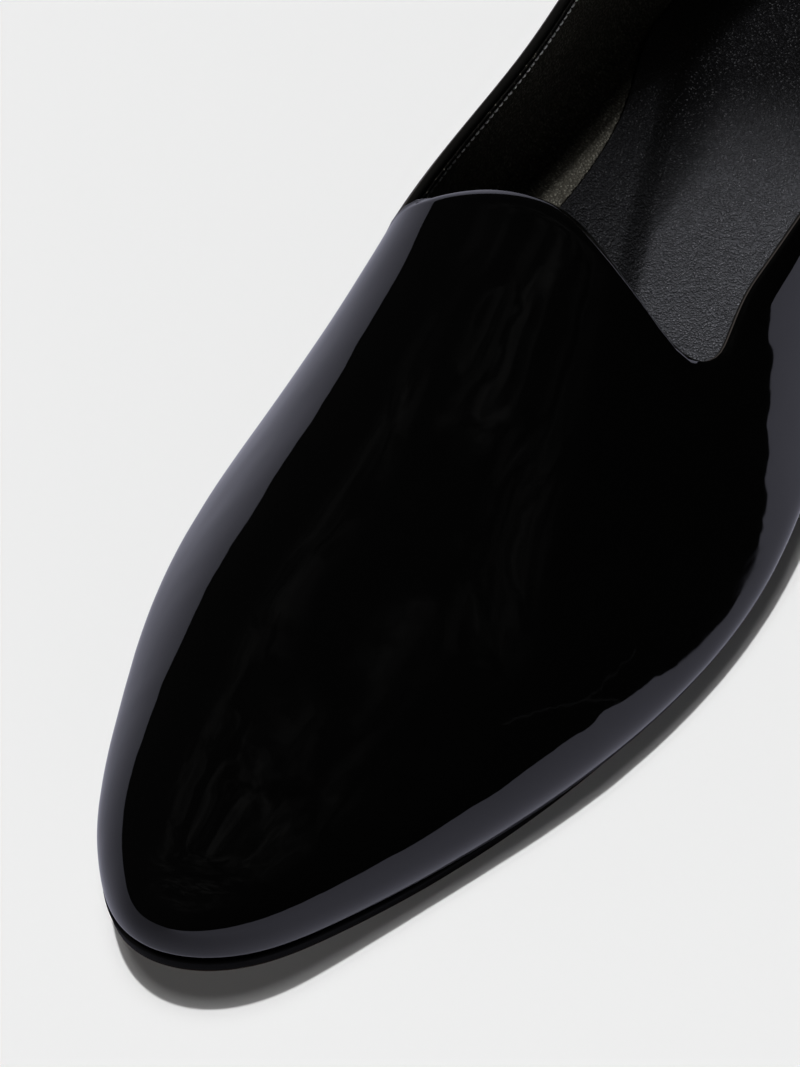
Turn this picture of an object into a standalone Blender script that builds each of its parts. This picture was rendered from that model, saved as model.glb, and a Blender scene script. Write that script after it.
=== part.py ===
"""Left patent leather loafer: hollow upper, thin outsole, low heel and insole.

The working functions are in millimetres: x runs from medial (-) to lateral (+), t from the toe
tip to the heel, z up from the floor. The meshes are in metres, with the origin under the middle
of the shoe, the toe towards -Y and the lateral side towards +X.

The outer surface is a last. A place on it is an angle along the foot (0 at the toe tip, pi at
the heel) and a turn over the section there (0 at the lateral feather line, pi / 2 on the crown,
pi at the medial feather line). The feather line is where the upper meets the sole.
"""
import bmesh
import bpy
import numpy as np

# Driving sizes of the last
LENGTH = 268.0
BALL_WIDTH = 86.0
INSTEP_HEIGHT = 54.0
HEEL_HEIGHT = 9.0
TOE_SPRING = 9.0

# Ends of the last: where the tips lie, how round they are in plan and how steep their walls are
TOE_TIP_X = -9.5
HEEL_TIP_X = 2.5
TOE_TIP_RADIUS = 13.0
HEEL_TIP_RADIUS = 27.0
TOE_WALL = 52.0
HEEL_WALL = 300.0
BACK_SWELL = 2.6
BACK_SWELL_HEIGHT = 40.0
BACK_SWELL_REACH = 10

# Sections of the last, toe to heel, with the columns
#   from_toe: % of LENGTH
#   lateral, medial: feather line from the middle line, % of BALL_WIDTH
#   roll_l, roll_m: how far the wall swells out over the feather line, mm
#   rise_l, rise_m: height over which it swells out, mm
#   crown: height of the crown over the feather line, % of INSTEP_HEIGHT
#   sway: shift of the crown towards the medial side, mm
#   full: fullness of both flanks
#   lean_l, lean_m: slope of each flank, inwards where negative
#   shoulder: extra height beside the crown
COLUMNS = ("from_toe", "lateral", "medial", "roll_l", "roll_m", "rise_l", "rise_m",
           "crown", "sway", "full", "lean_l", "lean_m", "shoulder")
SECTIONS = (
    (3.7, 7.5, 28.0, 1.0, 1.0, 12, 12, 28, 0, 0.10, -0.02, -0.05, 0.00),
    (8.2, 15.5, 35.5, 1.5, 2.0, 12, 12, 36, -1, 0.10, -0.04, -0.08, 0.00),
    (16.8, 28.5, 44.0, 2.2, 3.6, 12, 12, 49, -2, 0.10, -0.08, -0.17, 0.00),
    (28.0, 43.0, 50.5, 3.4, 6.0, 11, 12, 66, -4, 0.10, -0.22, -0.33, 0.02),
    (37.3, 50.0, 49.0, 4.4, 8.0, 8, 12, 80, -6, 0.10, -0.56, -0.36, 0.06),
    (46.6, 51.5, 43.5, 5.0, 8.8, 7, 13, 97, -8, 0.10, -0.84, -0.25, 0.12),
    (56.0, 48.0, 36.0, 4.8, 7.5, 7, 13, 111, -12, 0.10, -0.86, 0.00, 0.14),
    (69.0, 42.5, 29.0, 3.6, 6.0, 9, 13, 155, -20, 0.05, -0.62, 0.08, 0.05),
    (82.0, 39.0, 31.0, 2.6, 3.6, 10, 12, 240, -12, 0.00, -0.25, 0.00, 0.00),
    (92.0, 32.5, 27.0, 2.0, 2.0, 10, 10, 278, 0, 0.00, -0.05, 0.00, 0.00),
)

# Bottom line of the shoe: flat under the ball, rising to the toe and over the waist to the heel
BALL_FLAT_START = 66.0
BALL_FLAT_END = 98.0
TOE_SPRING_POWER = 2.2
WAIST_END = 217.0

# Topline: tongue edge across the instep, a rounded dip on each side, quarters rising to the back
TONGUE_MIDDLE_X = -6.0
TONGUE_FROM_TOE = 139.5
LATERAL_DIP = (25.0, 134.5)
MEDIAL_DIP = (-34.0, 141.0)
DIP_RADIUS = 6.0
QUARTER_START = 130.0
QUARTER_HEIGHT = 36.5
QUARTER_RISE = 9.0
BACK_RISE = 14.0

# Walls, plates and clearances
UPPER_WALL = 1.8
SOLE_THICKNESS = 3.2
SOLE_TRIM = 1.2
SOLE_TRIM_START = 20.0
SOLE_TRIM_END = 90.0
SOLE_EDGE_TAPER = 0.5
SOLE_EDGE_CHAMFER = 0.6
INSOLE_THICKNESS = 2.5
INSOLE_CHAMFER = 0.5
HEEL_BREAST = 207.0
HEEL_TAPER = 1.0
HEEL_CHAMFER = 0.6
CLEARANCE = 0.3

# Fineness of the meshes
AROUND = 132
EDGE_ROW_HEIGHTS = (0.0, 1.0, 2.5, 4.5, 7.0, 10.0, 14.0)
WALL_ROWS = 8
HEEL_STATIONS = 22
FAN_CENTRE = 0.42
LIFT_LIMIT = 1.45
LIFT_SAMPLES = 240
BISECTIONS = 40
SMALL = 1e-4

MM = 0.001


def level_spline(knots, values):
    """Cubic spline through the values, level at both ends, as a function of an array."""
    step = np.diff(knots)
    rise = np.diff(values)
    size = len(knots)
    system = np.eye(size)
    right = np.zeros(size)
    for row in range(1, size - 1):
        before, after = step[row - 1], step[row]
        system[row, row - 1:row + 2] = 1 / before, 2 / before + 2 / after, 1 / after
        right[row] = 3 * (rise[row - 1] / before**2 + rise[row] / after**2)
    slope = np.linalg.solve(system, right)

    def curve(at):
        left = np.clip(np.searchsorted(knots, at) - 1, 0, size - 2)
        u = (at - knots[left]) / step[left]
        start = (1 + 2 * u) * (1 - u)**2 * values[left]
        start_slope = u * (1 - u)**2 * step[left] * slope[left]
        end = u**2 * (3 - 2 * u) * values[left + 1]
        end_slope = u**2 * (u - 1) * step[left] * slope[left + 1]
        return start + start_slope + end + end_slope

    return curve


def place_at(from_toe):
    """Angle along the foot for a distance from the toe tip."""
    return np.arccos(1 - 2 * np.asarray(from_toe) / LENGTH)


def distance_at(place):
    """Distance from the toe tip for an angle along the foot."""
    return LENGTH * (1 - np.cos(place)) / 2


def last_curves():
    """The section table as smooth curves along the foot.

    Widths, crowns and sways are divided by the sine of the place, so that the surface closes
    to a round tip at both ends. The end values of width follow from the tip radius in plan.
    """
    table = dict(zip(COLUMNS, np.array(SECTIONS, dtype=float).T))
    place = place_at(table["from_toe"] / 100 * LENGTH)
    closing = np.sin(place)
    knots = np.concatenate([[0.0], place, [np.pi]])
    lateral = table["lateral"] / 100 * BALL_WIDTH
    medial = table["medial"] / 100 * BALL_WIDTH

    def through(values, toe, heel):
        return level_spline(knots, np.concatenate([[toe], values, [heel]]))

    def held(values):
        return through(values, values[0], values[-1])

    def tip_width(radius):
        return np.sqrt(radius * LENGTH / 2)

    curves = {name: held(table[name]) for name in COLUMNS[3:]}
    curves["middle"] = through((lateral - medial) / 2, TOE_TIP_X, HEEL_TIP_X)
    curves["width"] = through((lateral + medial) / 2 / closing,
                              tip_width(TOE_TIP_RADIUS), tip_width(HEEL_TIP_RADIUS))
    crown = table["crown"] / 100 * INSTEP_HEIGHT
    curves["crown"] = through(crown / closing, TOE_WALL, HEEL_WALL)
    curves["sway"] = held(table["sway"] / closing)
    return curves


LAST = last_curves()


def smooth_step(u):
    """Rise from 0 to 1 with level ends and no jump in curvature."""
    u = np.clip(u, 0, 1)
    return u**3 * (10 - 15 * u + 6 * u**2)


def underside(from_toe):
    """Height of the outsole's underside: toe spring, flat ball, waist and heel seat."""
    spring = TOE_SPRING * (np.clip(1 - from_toe / BALL_FLAT_START, 0, 1))**TOE_SPRING_POWER
    waist = (from_toe - BALL_FLAT_END) / (WAIST_END - BALL_FLAT_END)
    return spring + HEEL_HEIGHT * smooth_step(waist)


def sole_top(from_toe):
    """Height of the outsole's upper face."""
    return underside(from_toe) + SOLE_THICKNESS


def feather_line(place, side):
    """Plan point (x, t) of the feather line on the lateral (+1) or medial (-1) side."""
    reach = np.sin(place) * LAST["width"](place)
    return LAST["middle"](place) + side * reach, distance_at(place)


def feather_normal(place, side):
    """Outward plan normal (x, t) of the feather line."""
    before = feather_line(np.clip(place - SMALL, SMALL, np.pi - 3 * SMALL), side)
    after = feather_line(np.clip(place + SMALL, 3 * SMALL, np.pi - SMALL), side)
    run_x, run_t = after[0] - before[0], after[1] - before[1]
    length = np.hypot(run_x, run_t)
    return side * run_t / length, -side * run_x / length


def last_point(place, turn):
    """Point (x, t, z) of the upper's outer surface.

    Each section is an arch from feather line to feather line, with leaning flanks and a crown
    that sways to the medial side. Its lower edge swells out over the feather line, along the
    plan normal, and the heel's back swells out in the same way.
    """
    closing = np.sin(place)
    across, up = np.cos(turn), np.sin(turn)
    lateral_share = (1 + across) / 2
    lean = LAST["lean_m"](place)
    lean = lean + (LAST["lean_l"](place) - lean) * lateral_share
    flank = 1 + LAST["full"](place) * up**2 + lean * up
    x = LAST["middle"](place) + closing * LAST["width"](place) * across * flank
    x = x + closing * LAST["sway"](place) * up**2
    t = distance_at(place)
    height = closing * LAST["crown"](place) * up * (1 + LAST["shoulder"](place) * across**2)
    z = sole_top(t) + CLEARANCE + height
    for side, share, roll, rise in ((1, lateral_share, "roll_l", "rise_l"),
                                    (-1, 1 - lateral_share, "roll_m", "rise_m")):
        normal_x, normal_t = feather_normal(place, side)
        grown = 1 - (1 - np.clip(height / LAST[rise](place), 0, 1))**3
        swell = LAST[roll](place) * grown * share
        x = x + normal_x * swell
        t = t + normal_t * swell
    back = ((1 - np.cos(place)) / 2)**BACK_SWELL_REACH
    share_up = height / BACK_SWELL_HEIGHT
    t = t + back * BACK_SWELL * 4 * share_up * (1 - share_up)
    return np.stack([x, t, z], axis=-1)


def fan_point(angle, lift):
    """Point of the upper on a fan of lines that rise from the feather line to the opening.

    The angle runs round the foot, 0 at the heel and pi at the toe, and the lift runs up from 0
    at the feather line. The fan's centre lies inside the opening.
    """
    disc = np.cos(lift) * np.exp(1j * angle)
    disc = (disc + FAN_CENTRE) / (1 + FAN_CENTRE * disc)
    up = np.sqrt(np.clip(1 - np.abs(disc)**2, 0, None))
    place = np.arccos(np.clip(-disc.real, -1, 1))
    return last_point(place, np.arctan2(up, disc.imag))


def ring_places(count):
    """Even angles round the feather line: place along the foot and side for each."""
    ring = np.arange(count) * 2 * np.pi / count
    side = np.where(ring <= np.pi, 1, -1)
    return ring, np.where(ring <= np.pi, np.pi - ring, ring - np.pi), side


def ring_fan_angles(ring):
    """Fan angles whose lines start at the given ring angles of the feather line."""
    disc = np.exp(1j * ring)
    return np.angle((disc - FAN_CENTRE) / (1 - FAN_CENTRE * disc)) % (2 * np.pi)


def tongue_edge(x):
    """Distance of the tongue's edge from the toe tip, bending to a dip on each side."""
    run = x - TONGUE_MIDDLE_X
    lateral, medial = ((t - TONGUE_FROM_TOE) * (run / (dip_x - TONGUE_MIDDLE_X))**2
                       for dip_x, t in (LATERAL_DIP, MEDIAL_DIP))
    return TONGUE_FROM_TOE + np.where(run > 0, lateral, medial)


def quarter_height(from_toe):
    """Height of the quarters' topline."""
    share = (from_toe - QUARTER_START) / (LENGTH - QUARTER_START)
    return QUARTER_HEIGHT + QUARTER_RISE * share + BACK_RISE * np.clip(share, 0, None)**3


def opening_depth(point):
    """How far a point lies inside the opening: behind the tongue and over the quarters."""
    behind = point[..., 1] - tongue_edge(point[..., 0])
    above = point[..., 2] - quarter_height(point[..., 1])
    corner = DIP_RADIUS - np.hypot(np.clip(DIP_RADIUS - behind, 0, None),
                                   np.clip(DIP_RADIUS - above, 0, None))
    return corner


def topline_lifts(angle):
    """Lift at which each line of the fan meets the opening, by halving its first crossing."""
    lifts = np.linspace(0, LIFT_LIMIT, LIFT_SAMPLES)
    inside = opening_depth(fan_point(angle[:, None], lifts[None, :])) > 0
    first = np.argmax(inside, axis=1)
    low, high = lifts[first - 1], lifts[first]
    for _ in range(BISECTIONS):
        middle = (low + high) / 2
        crossed = opening_depth(fan_point(angle, middle)) > 0
        low, high = np.where(crossed, low, middle), np.where(crossed, middle, high)
    return (low + high) / 2


def row_lifts(ring, angle):
    """Lifts of the upper's rows: lower ones at set heights, the rest even up to the topline.

    Near the feather line the height over it is the crown curve times the sine of the lift,
    stretched by the fan's centre lying off the middle.
    """
    stretch = np.abs(1 + FAN_CENTRE * np.exp(1j * angle)) / np.sqrt(1 - FAN_CENTRE**2)
    crown = LAST["crown"](np.abs(np.pi - ring))
    heights = np.array(EDGE_ROW_HEIGHTS)[:, None]
    lower = np.arcsin(heights / crown * stretch)
    share = np.linspace(0, 1, WALL_ROWS + 1)[1:, None]
    return np.concatenate([lower, lower[-1] + share * (topline_lifts(angle) - lower[-1])])


def unit(vectors):
    """Vectors at length 1."""
    return vectors / np.linalg.norm(vectors, axis=-1, keepdims=True)


def upper_loops():
    """Closed loops of the upper: up the outside, over the rim, down the inside."""
    ring, place, side = ring_places(AROUND)
    angle = ring_fan_angles(ring)
    lift = row_lifts(ring, angle)
    outer = fan_point(angle[None, :], lift)
    around = fan_point(angle[None, :] + SMALL, lift) - fan_point(angle[None, :] - SMALL, lift)
    upward = fan_point(angle[None, :], lift + SMALL) - outer
    inner = outer - UPPER_WALL * unit(np.cross(upward, around))
    normal_x, normal_t = feather_normal(place, side)
    inner[0, :, 0] = outer[0, :, 0] - UPPER_WALL * normal_x
    inner[0, :, 1] = outer[0, :, 1] - UPPER_WALL * normal_t
    inner[0, :, 2] = outer[0, :, 2]
    rim = (outer[-1] + inner[-1]) / 2 + UPPER_WALL / 2 * unit(upward[-1])
    return np.concatenate([outer, rim[None], inner[::-1]])


def plan_loop(inset, height):
    """Loop inside the feather line by an inset, at a height given along the foot."""
    _, place, side = ring_places(AROUND)
    x, t = feather_line(place, side)
    normal_x, normal_t = feather_normal(place, side)
    step = inset(t)
    x, t = x - step * normal_x, t - step * normal_t
    return np.stack([x, t, height(t)], axis=-1)


def sole_trim(from_toe):
    """How far the outsole is trimmed inside the feather line: flush at the toe, close behind."""
    return SOLE_TRIM * smooth_step((from_toe - SOLE_TRIM_START) / (SOLE_TRIM_END - SOLE_TRIM_START))


def outsole_loops():
    """Loops of the outsole, top to bottom, with a taper and a small chamfer on its edge."""
    steps = ((0, sole_top),
             (SOLE_EDGE_TAPER, lambda t: underside(t) + SOLE_EDGE_CHAMFER),
             (SOLE_EDGE_TAPER + SOLE_EDGE_CHAMFER, underside))
    return np.stack([plan_loop(lambda t, extra=extra: sole_trim(t) + extra, height)
                     for extra, height in steps])


def insole_loops():
    """Loops of the insole, bottom to top, clear of the upper's wall and the outsole."""
    edge = UPPER_WALL + CLEARANCE
    steps = ((edge, CLEARANCE),
             (edge, CLEARANCE + INSOLE_THICKNESS - INSOLE_CHAMFER),
             (edge + INSOLE_CHAMFER, CLEARANCE + INSOLE_THICKNESS))
    return np.stack([plan_loop(lambda t, inset=inset: np.full_like(t, inset),
                               lambda t, over=over: sole_top(t) + over)
                     for inset, over in steps])


def heel_loops():
    """Loops of the heel, top to bottom, from its back round both sides to the breast."""
    place = np.linspace(np.pi, place_at(HEEL_BREAST), HEEL_STATIONS)
    places = np.concatenate([place, place[:0:-1]])
    side = np.concatenate([np.ones(HEEL_STATIONS), -np.ones(HEEL_STATIONS - 1)])
    x, t = feather_line(places, side)
    normal_x, normal_t = feather_normal(places, side)
    top = underside(t) - CLEARANCE
    trim = SOLE_TRIM + SOLE_EDGE_TAPER + SOLE_EDGE_CHAMFER / 2
    steps = ((trim, top),
             (trim + HEEL_TAPER, np.full_like(t, HEEL_CHAMFER)),
             (trim + HEEL_TAPER + HEEL_CHAMFER, np.zeros_like(t)))
    return np.stack([np.stack([x - inset * normal_x, t - inset * normal_t, z], axis=-1)
                     for inset, z in steps])


def wall_faces(rows, count, closed):
    """Quads between neighbouring loops, and between the last and the first where closed."""
    faces = []
    for row in range(rows if closed else rows - 1):
        low, high = row * count, (row + 1) % rows * count
        for i in range(count):
            after = (i + 1) % count
            faces.append((low + i, low + after, high + after, high + i))
    return faces


def cap_faces(start, count):
    """Strips across a loop that is the same on both sides of its first point."""
    faces = [(start, start + 1, start + count - 1)]
    low, high = start + 1, start + count - 1
    while high - low > 2:
        faces.append((low, low + 1, high - 1, high))
        low, high = low + 1, high - 1
    if high - low == 2:
        faces.append((low, low + 1, high))
    return faces


def make_material(name, colour, roughness):
    """Principled material of one piece."""
    material = bpy.data.materials.new(name)
    material.use_nodes = True
    shader = material.node_tree.nodes["Principled BSDF"]
    shader.inputs["Base Color"].default_value = (*colour, 1)
    shader.inputs["Roughness"].default_value = roughness
    shader.inputs["Metallic"].default_value = 0
    return material


def make_solid(name, loops, middle, material, ring_shaped=False):
    """Closed mesh object from loops of equal length, capped unless it is ring shaped."""
    rows, count = loops.shape[:2]
    faces = wall_faces(rows, count, closed=ring_shaped)
    if not ring_shaped:
        faces += cap_faces(0, count) + cap_faces((rows - 1) * count, count)
    points = (loops.reshape(-1, 3) - middle) * MM
    mesh = bpy.data.meshes.new(name)
    mesh.from_pydata(points.tolist(), [], faces)
    shape = bmesh.new()
    shape.from_mesh(mesh)
    bmesh.ops.recalc_face_normals(shape, faces=shape.faces)
    shape.to_mesh(mesh)
    shape.free()
    mesh.shade_smooth()
    mesh.set_sharp_from_angle(angle=np.radians(40))
    mesh.materials.append(material)
    return bpy.data.objects.new(name, mesh)


def footprint_middle(all_loops):
    """Point on the floor under the middle of everything."""
    points = np.concatenate([loops.reshape(-1, 3) for loops in all_loops])
    middle = (points.min(axis=0) + points.max(axis=0)) / 2
    middle[2] = 0
    return middle


def build():
    """Clear the scene and make the shoe's four pieces under one empty."""
    for old in list(bpy.data.objects):
        bpy.data.objects.remove(old)
    pieces = {
        "upper": (upper_loops(), (0.004, 0.004, 0.005), 0.05),
        "outsole": (outsole_loops(), (0.012, 0.011, 0.010), 0.45),
        "heel": (heel_loops(), (0.012, 0.011, 0.010), 0.45),
        "insole": (insole_loops(), (0.045, 0.045, 0.050), 0.50),
    }
    middle = footprint_middle([loops for loops, _, _ in pieces.values()])
    shoe = bpy.data.objects.new("loafer", None)
    bpy.context.scene.collection.objects.link(shoe)
    for name, (loops, colour, roughness) in pieces.items():
        material = make_material(name, colour, roughness)
        solid = make_solid(name, loops, middle, material, ring_shaped=name == "upper")
        bpy.context.scene.collection.objects.link(solid)
        solid.parent = shoe


build()
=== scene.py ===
"""Dress of a left patent leather loafer: gloss upper, lining, sock, stitches, outsole and heel.

The working sizes are millimetres: x runs from medial (-) to lateral (+), t from the toe tip to the
heel, z up from the floor. Every surface follows one last, the shape that the shoe is made on. A
place on the last is an angle along the foot (0 at the toe tip, pi at the heel) and a turn over the
section there (0 at the lateral feather line, pi on the medial one). The feather line is where the
upper meets the sole.
"""
import logging
import math
from dataclasses import dataclass, field
from enum import Enum
from typing import Callable, Sequence

import bpy
import numpy as np
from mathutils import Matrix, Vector


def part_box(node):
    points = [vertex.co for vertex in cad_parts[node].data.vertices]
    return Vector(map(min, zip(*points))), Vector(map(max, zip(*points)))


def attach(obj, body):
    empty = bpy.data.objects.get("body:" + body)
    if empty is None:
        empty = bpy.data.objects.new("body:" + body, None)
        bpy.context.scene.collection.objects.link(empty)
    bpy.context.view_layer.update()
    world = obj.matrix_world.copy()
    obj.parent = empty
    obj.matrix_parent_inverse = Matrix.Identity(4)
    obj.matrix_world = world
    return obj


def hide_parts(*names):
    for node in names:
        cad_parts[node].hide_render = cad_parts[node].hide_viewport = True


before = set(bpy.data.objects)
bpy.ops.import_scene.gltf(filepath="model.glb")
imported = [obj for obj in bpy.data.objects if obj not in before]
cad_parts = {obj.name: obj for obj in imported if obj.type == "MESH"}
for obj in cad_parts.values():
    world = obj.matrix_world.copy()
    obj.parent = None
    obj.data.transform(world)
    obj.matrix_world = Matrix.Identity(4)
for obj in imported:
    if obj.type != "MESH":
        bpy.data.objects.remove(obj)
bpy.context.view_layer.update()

MM = 0.001
SMALL = 1e-4
IMAGE_HEIGHT = 1067
LOG = logging.getLogger("loafer")


class Side(Enum):
    """Side of the foot, with the sign of its x."""

    LATERAL = 1
    MEDIAL = -1


class PointValue(Enum):
    """Names of the float attributes that a piece hands to its material."""

    EDGE_SHARE = "edge_share"


def smooth_step(u: np.ndarray) -> np.ndarray:
    """Rise from 0 to 1 with level ends and no jump in curvature."""
    u = np.clip(u, 0, 1)
    return u**3 * (10 - 15 * u + 6 * u**2)


def plateau(t: np.ndarray, start: float, full: float, fade: float, end: float) -> np.ndarray:
    """Soft rise from start to full, then 1, and a soft fall from fade to end."""
    return smooth_step((t - start) / (full - start)) * (1 - smooth_step((t - fade) / (end - fade)))


def ring_angles(count: int) -> np.ndarray:
    """Even angles round a closed loop."""
    return np.arange(count) * 2 * np.pi / count


def unit(vectors: np.ndarray) -> np.ndarray:
    """Vectors at length 1."""
    return vectors / np.linalg.norm(vectors, axis=-1, keepdims=True)


class LevelSpline:
    """Cubic spline through given values, level at both ends."""

    def __init__(self, knots: np.ndarray, values: np.ndarray) -> None:
        """Work out the slopes that make the curvature continuous at each inner knot.

        Args:
            knots: rising places.
            values: value at each knot.
        """
        self.knots = knots
        self.values = values
        self.step = np.diff(knots)
        rise = np.diff(values)
        inner = np.arange(1, len(knots) - 1)
        before, after = self.step[inner - 1], self.step[inner]
        system = np.eye(len(knots))
        system[inner, inner - 1] = 1 / before
        system[inner, inner] = 2 / before + 2 / after
        system[inner, inner + 1] = 1 / after
        right = np.zeros(len(knots))
        right[inner] = 3 * (rise[inner - 1] / before**2 + rise[inner] / after**2)
        self.slope = np.linalg.solve(system, right)

    def __call__(self, at: np.ndarray) -> np.ndarray:
        """Value at any place, by the cubic that fits both values and both slopes of its span.

        Args:
            at: places between the first and the last knot.

        Returns:
            Value at each place.
        """
        left = np.clip(np.searchsorted(self.knots, at) - 1, 0, len(self.knots) - 2)
        u = (at - self.knots[left]) / self.step[left]
        start = (1 + 2 * u) * (1 - u)**2 * self.values[left]
        start_slope = u * (1 - u)**2 * self.step[left] * self.slope[left]
        end = u**2 * (3 - 2 * u) * self.values[left + 1]
        end_slope = u**2 * (u - 1) * self.step[left] * self.slope[left + 1]
        return start + start_slope + end + end_slope


@dataclass(frozen=True)
class Section:
    """One section of the last.

    from_toe is a share of the length in %, lateral and medial are the feather line's distances
    from the middle line in % of the ball width. roll is how far the wall swells out over the
    feather line and rise the height over which it does, both in mm, for the lateral (l) and the
    medial (m) side. crown is the height of the section in % of the instep height, sway the
    crown's shift in mm, full the fullness of both flanks, lean the slope of each flank and
    shoulder the extra height beside the crown.
    """

    from_toe: float
    lateral: float
    medial: float
    roll_l: float
    roll_m: float
    rise_l: float
    rise_m: float
    crown: float
    sway: float
    full: float
    lean_l: float
    lean_m: float
    shoulder: float


SECTIONS = (
    Section(3.7, 7.5, 28.0, 1.0, 1.0, 12, 12, 28, 0, 0.10, -0.02, -0.05, 0.00),
    Section(8.2, 15.5, 35.5, 1.5, 2.0, 12, 12, 36, -1, 0.10, -0.04, -0.08, 0.00),
    Section(16.8, 28.5, 44.0, 2.2, 3.6, 12, 12, 49, -2, 0.10, -0.08, -0.17, 0.00),
    Section(28.0, 43.0, 50.5, 3.4, 6.0, 11, 12, 66, -4, 0.10, -0.22, -0.33, 0.02),
    Section(37.3, 50.0, 49.0, 4.4, 8.0, 8, 12, 80, -6, 0.10, -0.56, -0.36, 0.06),
    Section(46.6, 51.5, 43.5, 5.0, 8.8, 7, 13, 97, -8, 0.10, -0.84, -0.25, 0.12),
    Section(56.0, 48.0, 36.0, 4.8, 7.5, 7, 13, 111, -12, 0.10, -0.86, 0.00, 0.14),
    Section(69.0, 42.5, 29.0, 3.6, 6.0, 9, 13, 155, -20, 0.05, -0.62, 0.08, 0.05),
    Section(82.0, 39.0, 31.0, 2.6, 3.6, 10, 12, 240, -12, 0.00, -0.25, 0.00, 0.00),
    Section(92.0, 32.5, 27.0, 2.0, 2.0, 10, 10, 278, 0, 0.00, -0.05, 0.00, 0.00),
)


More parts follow.
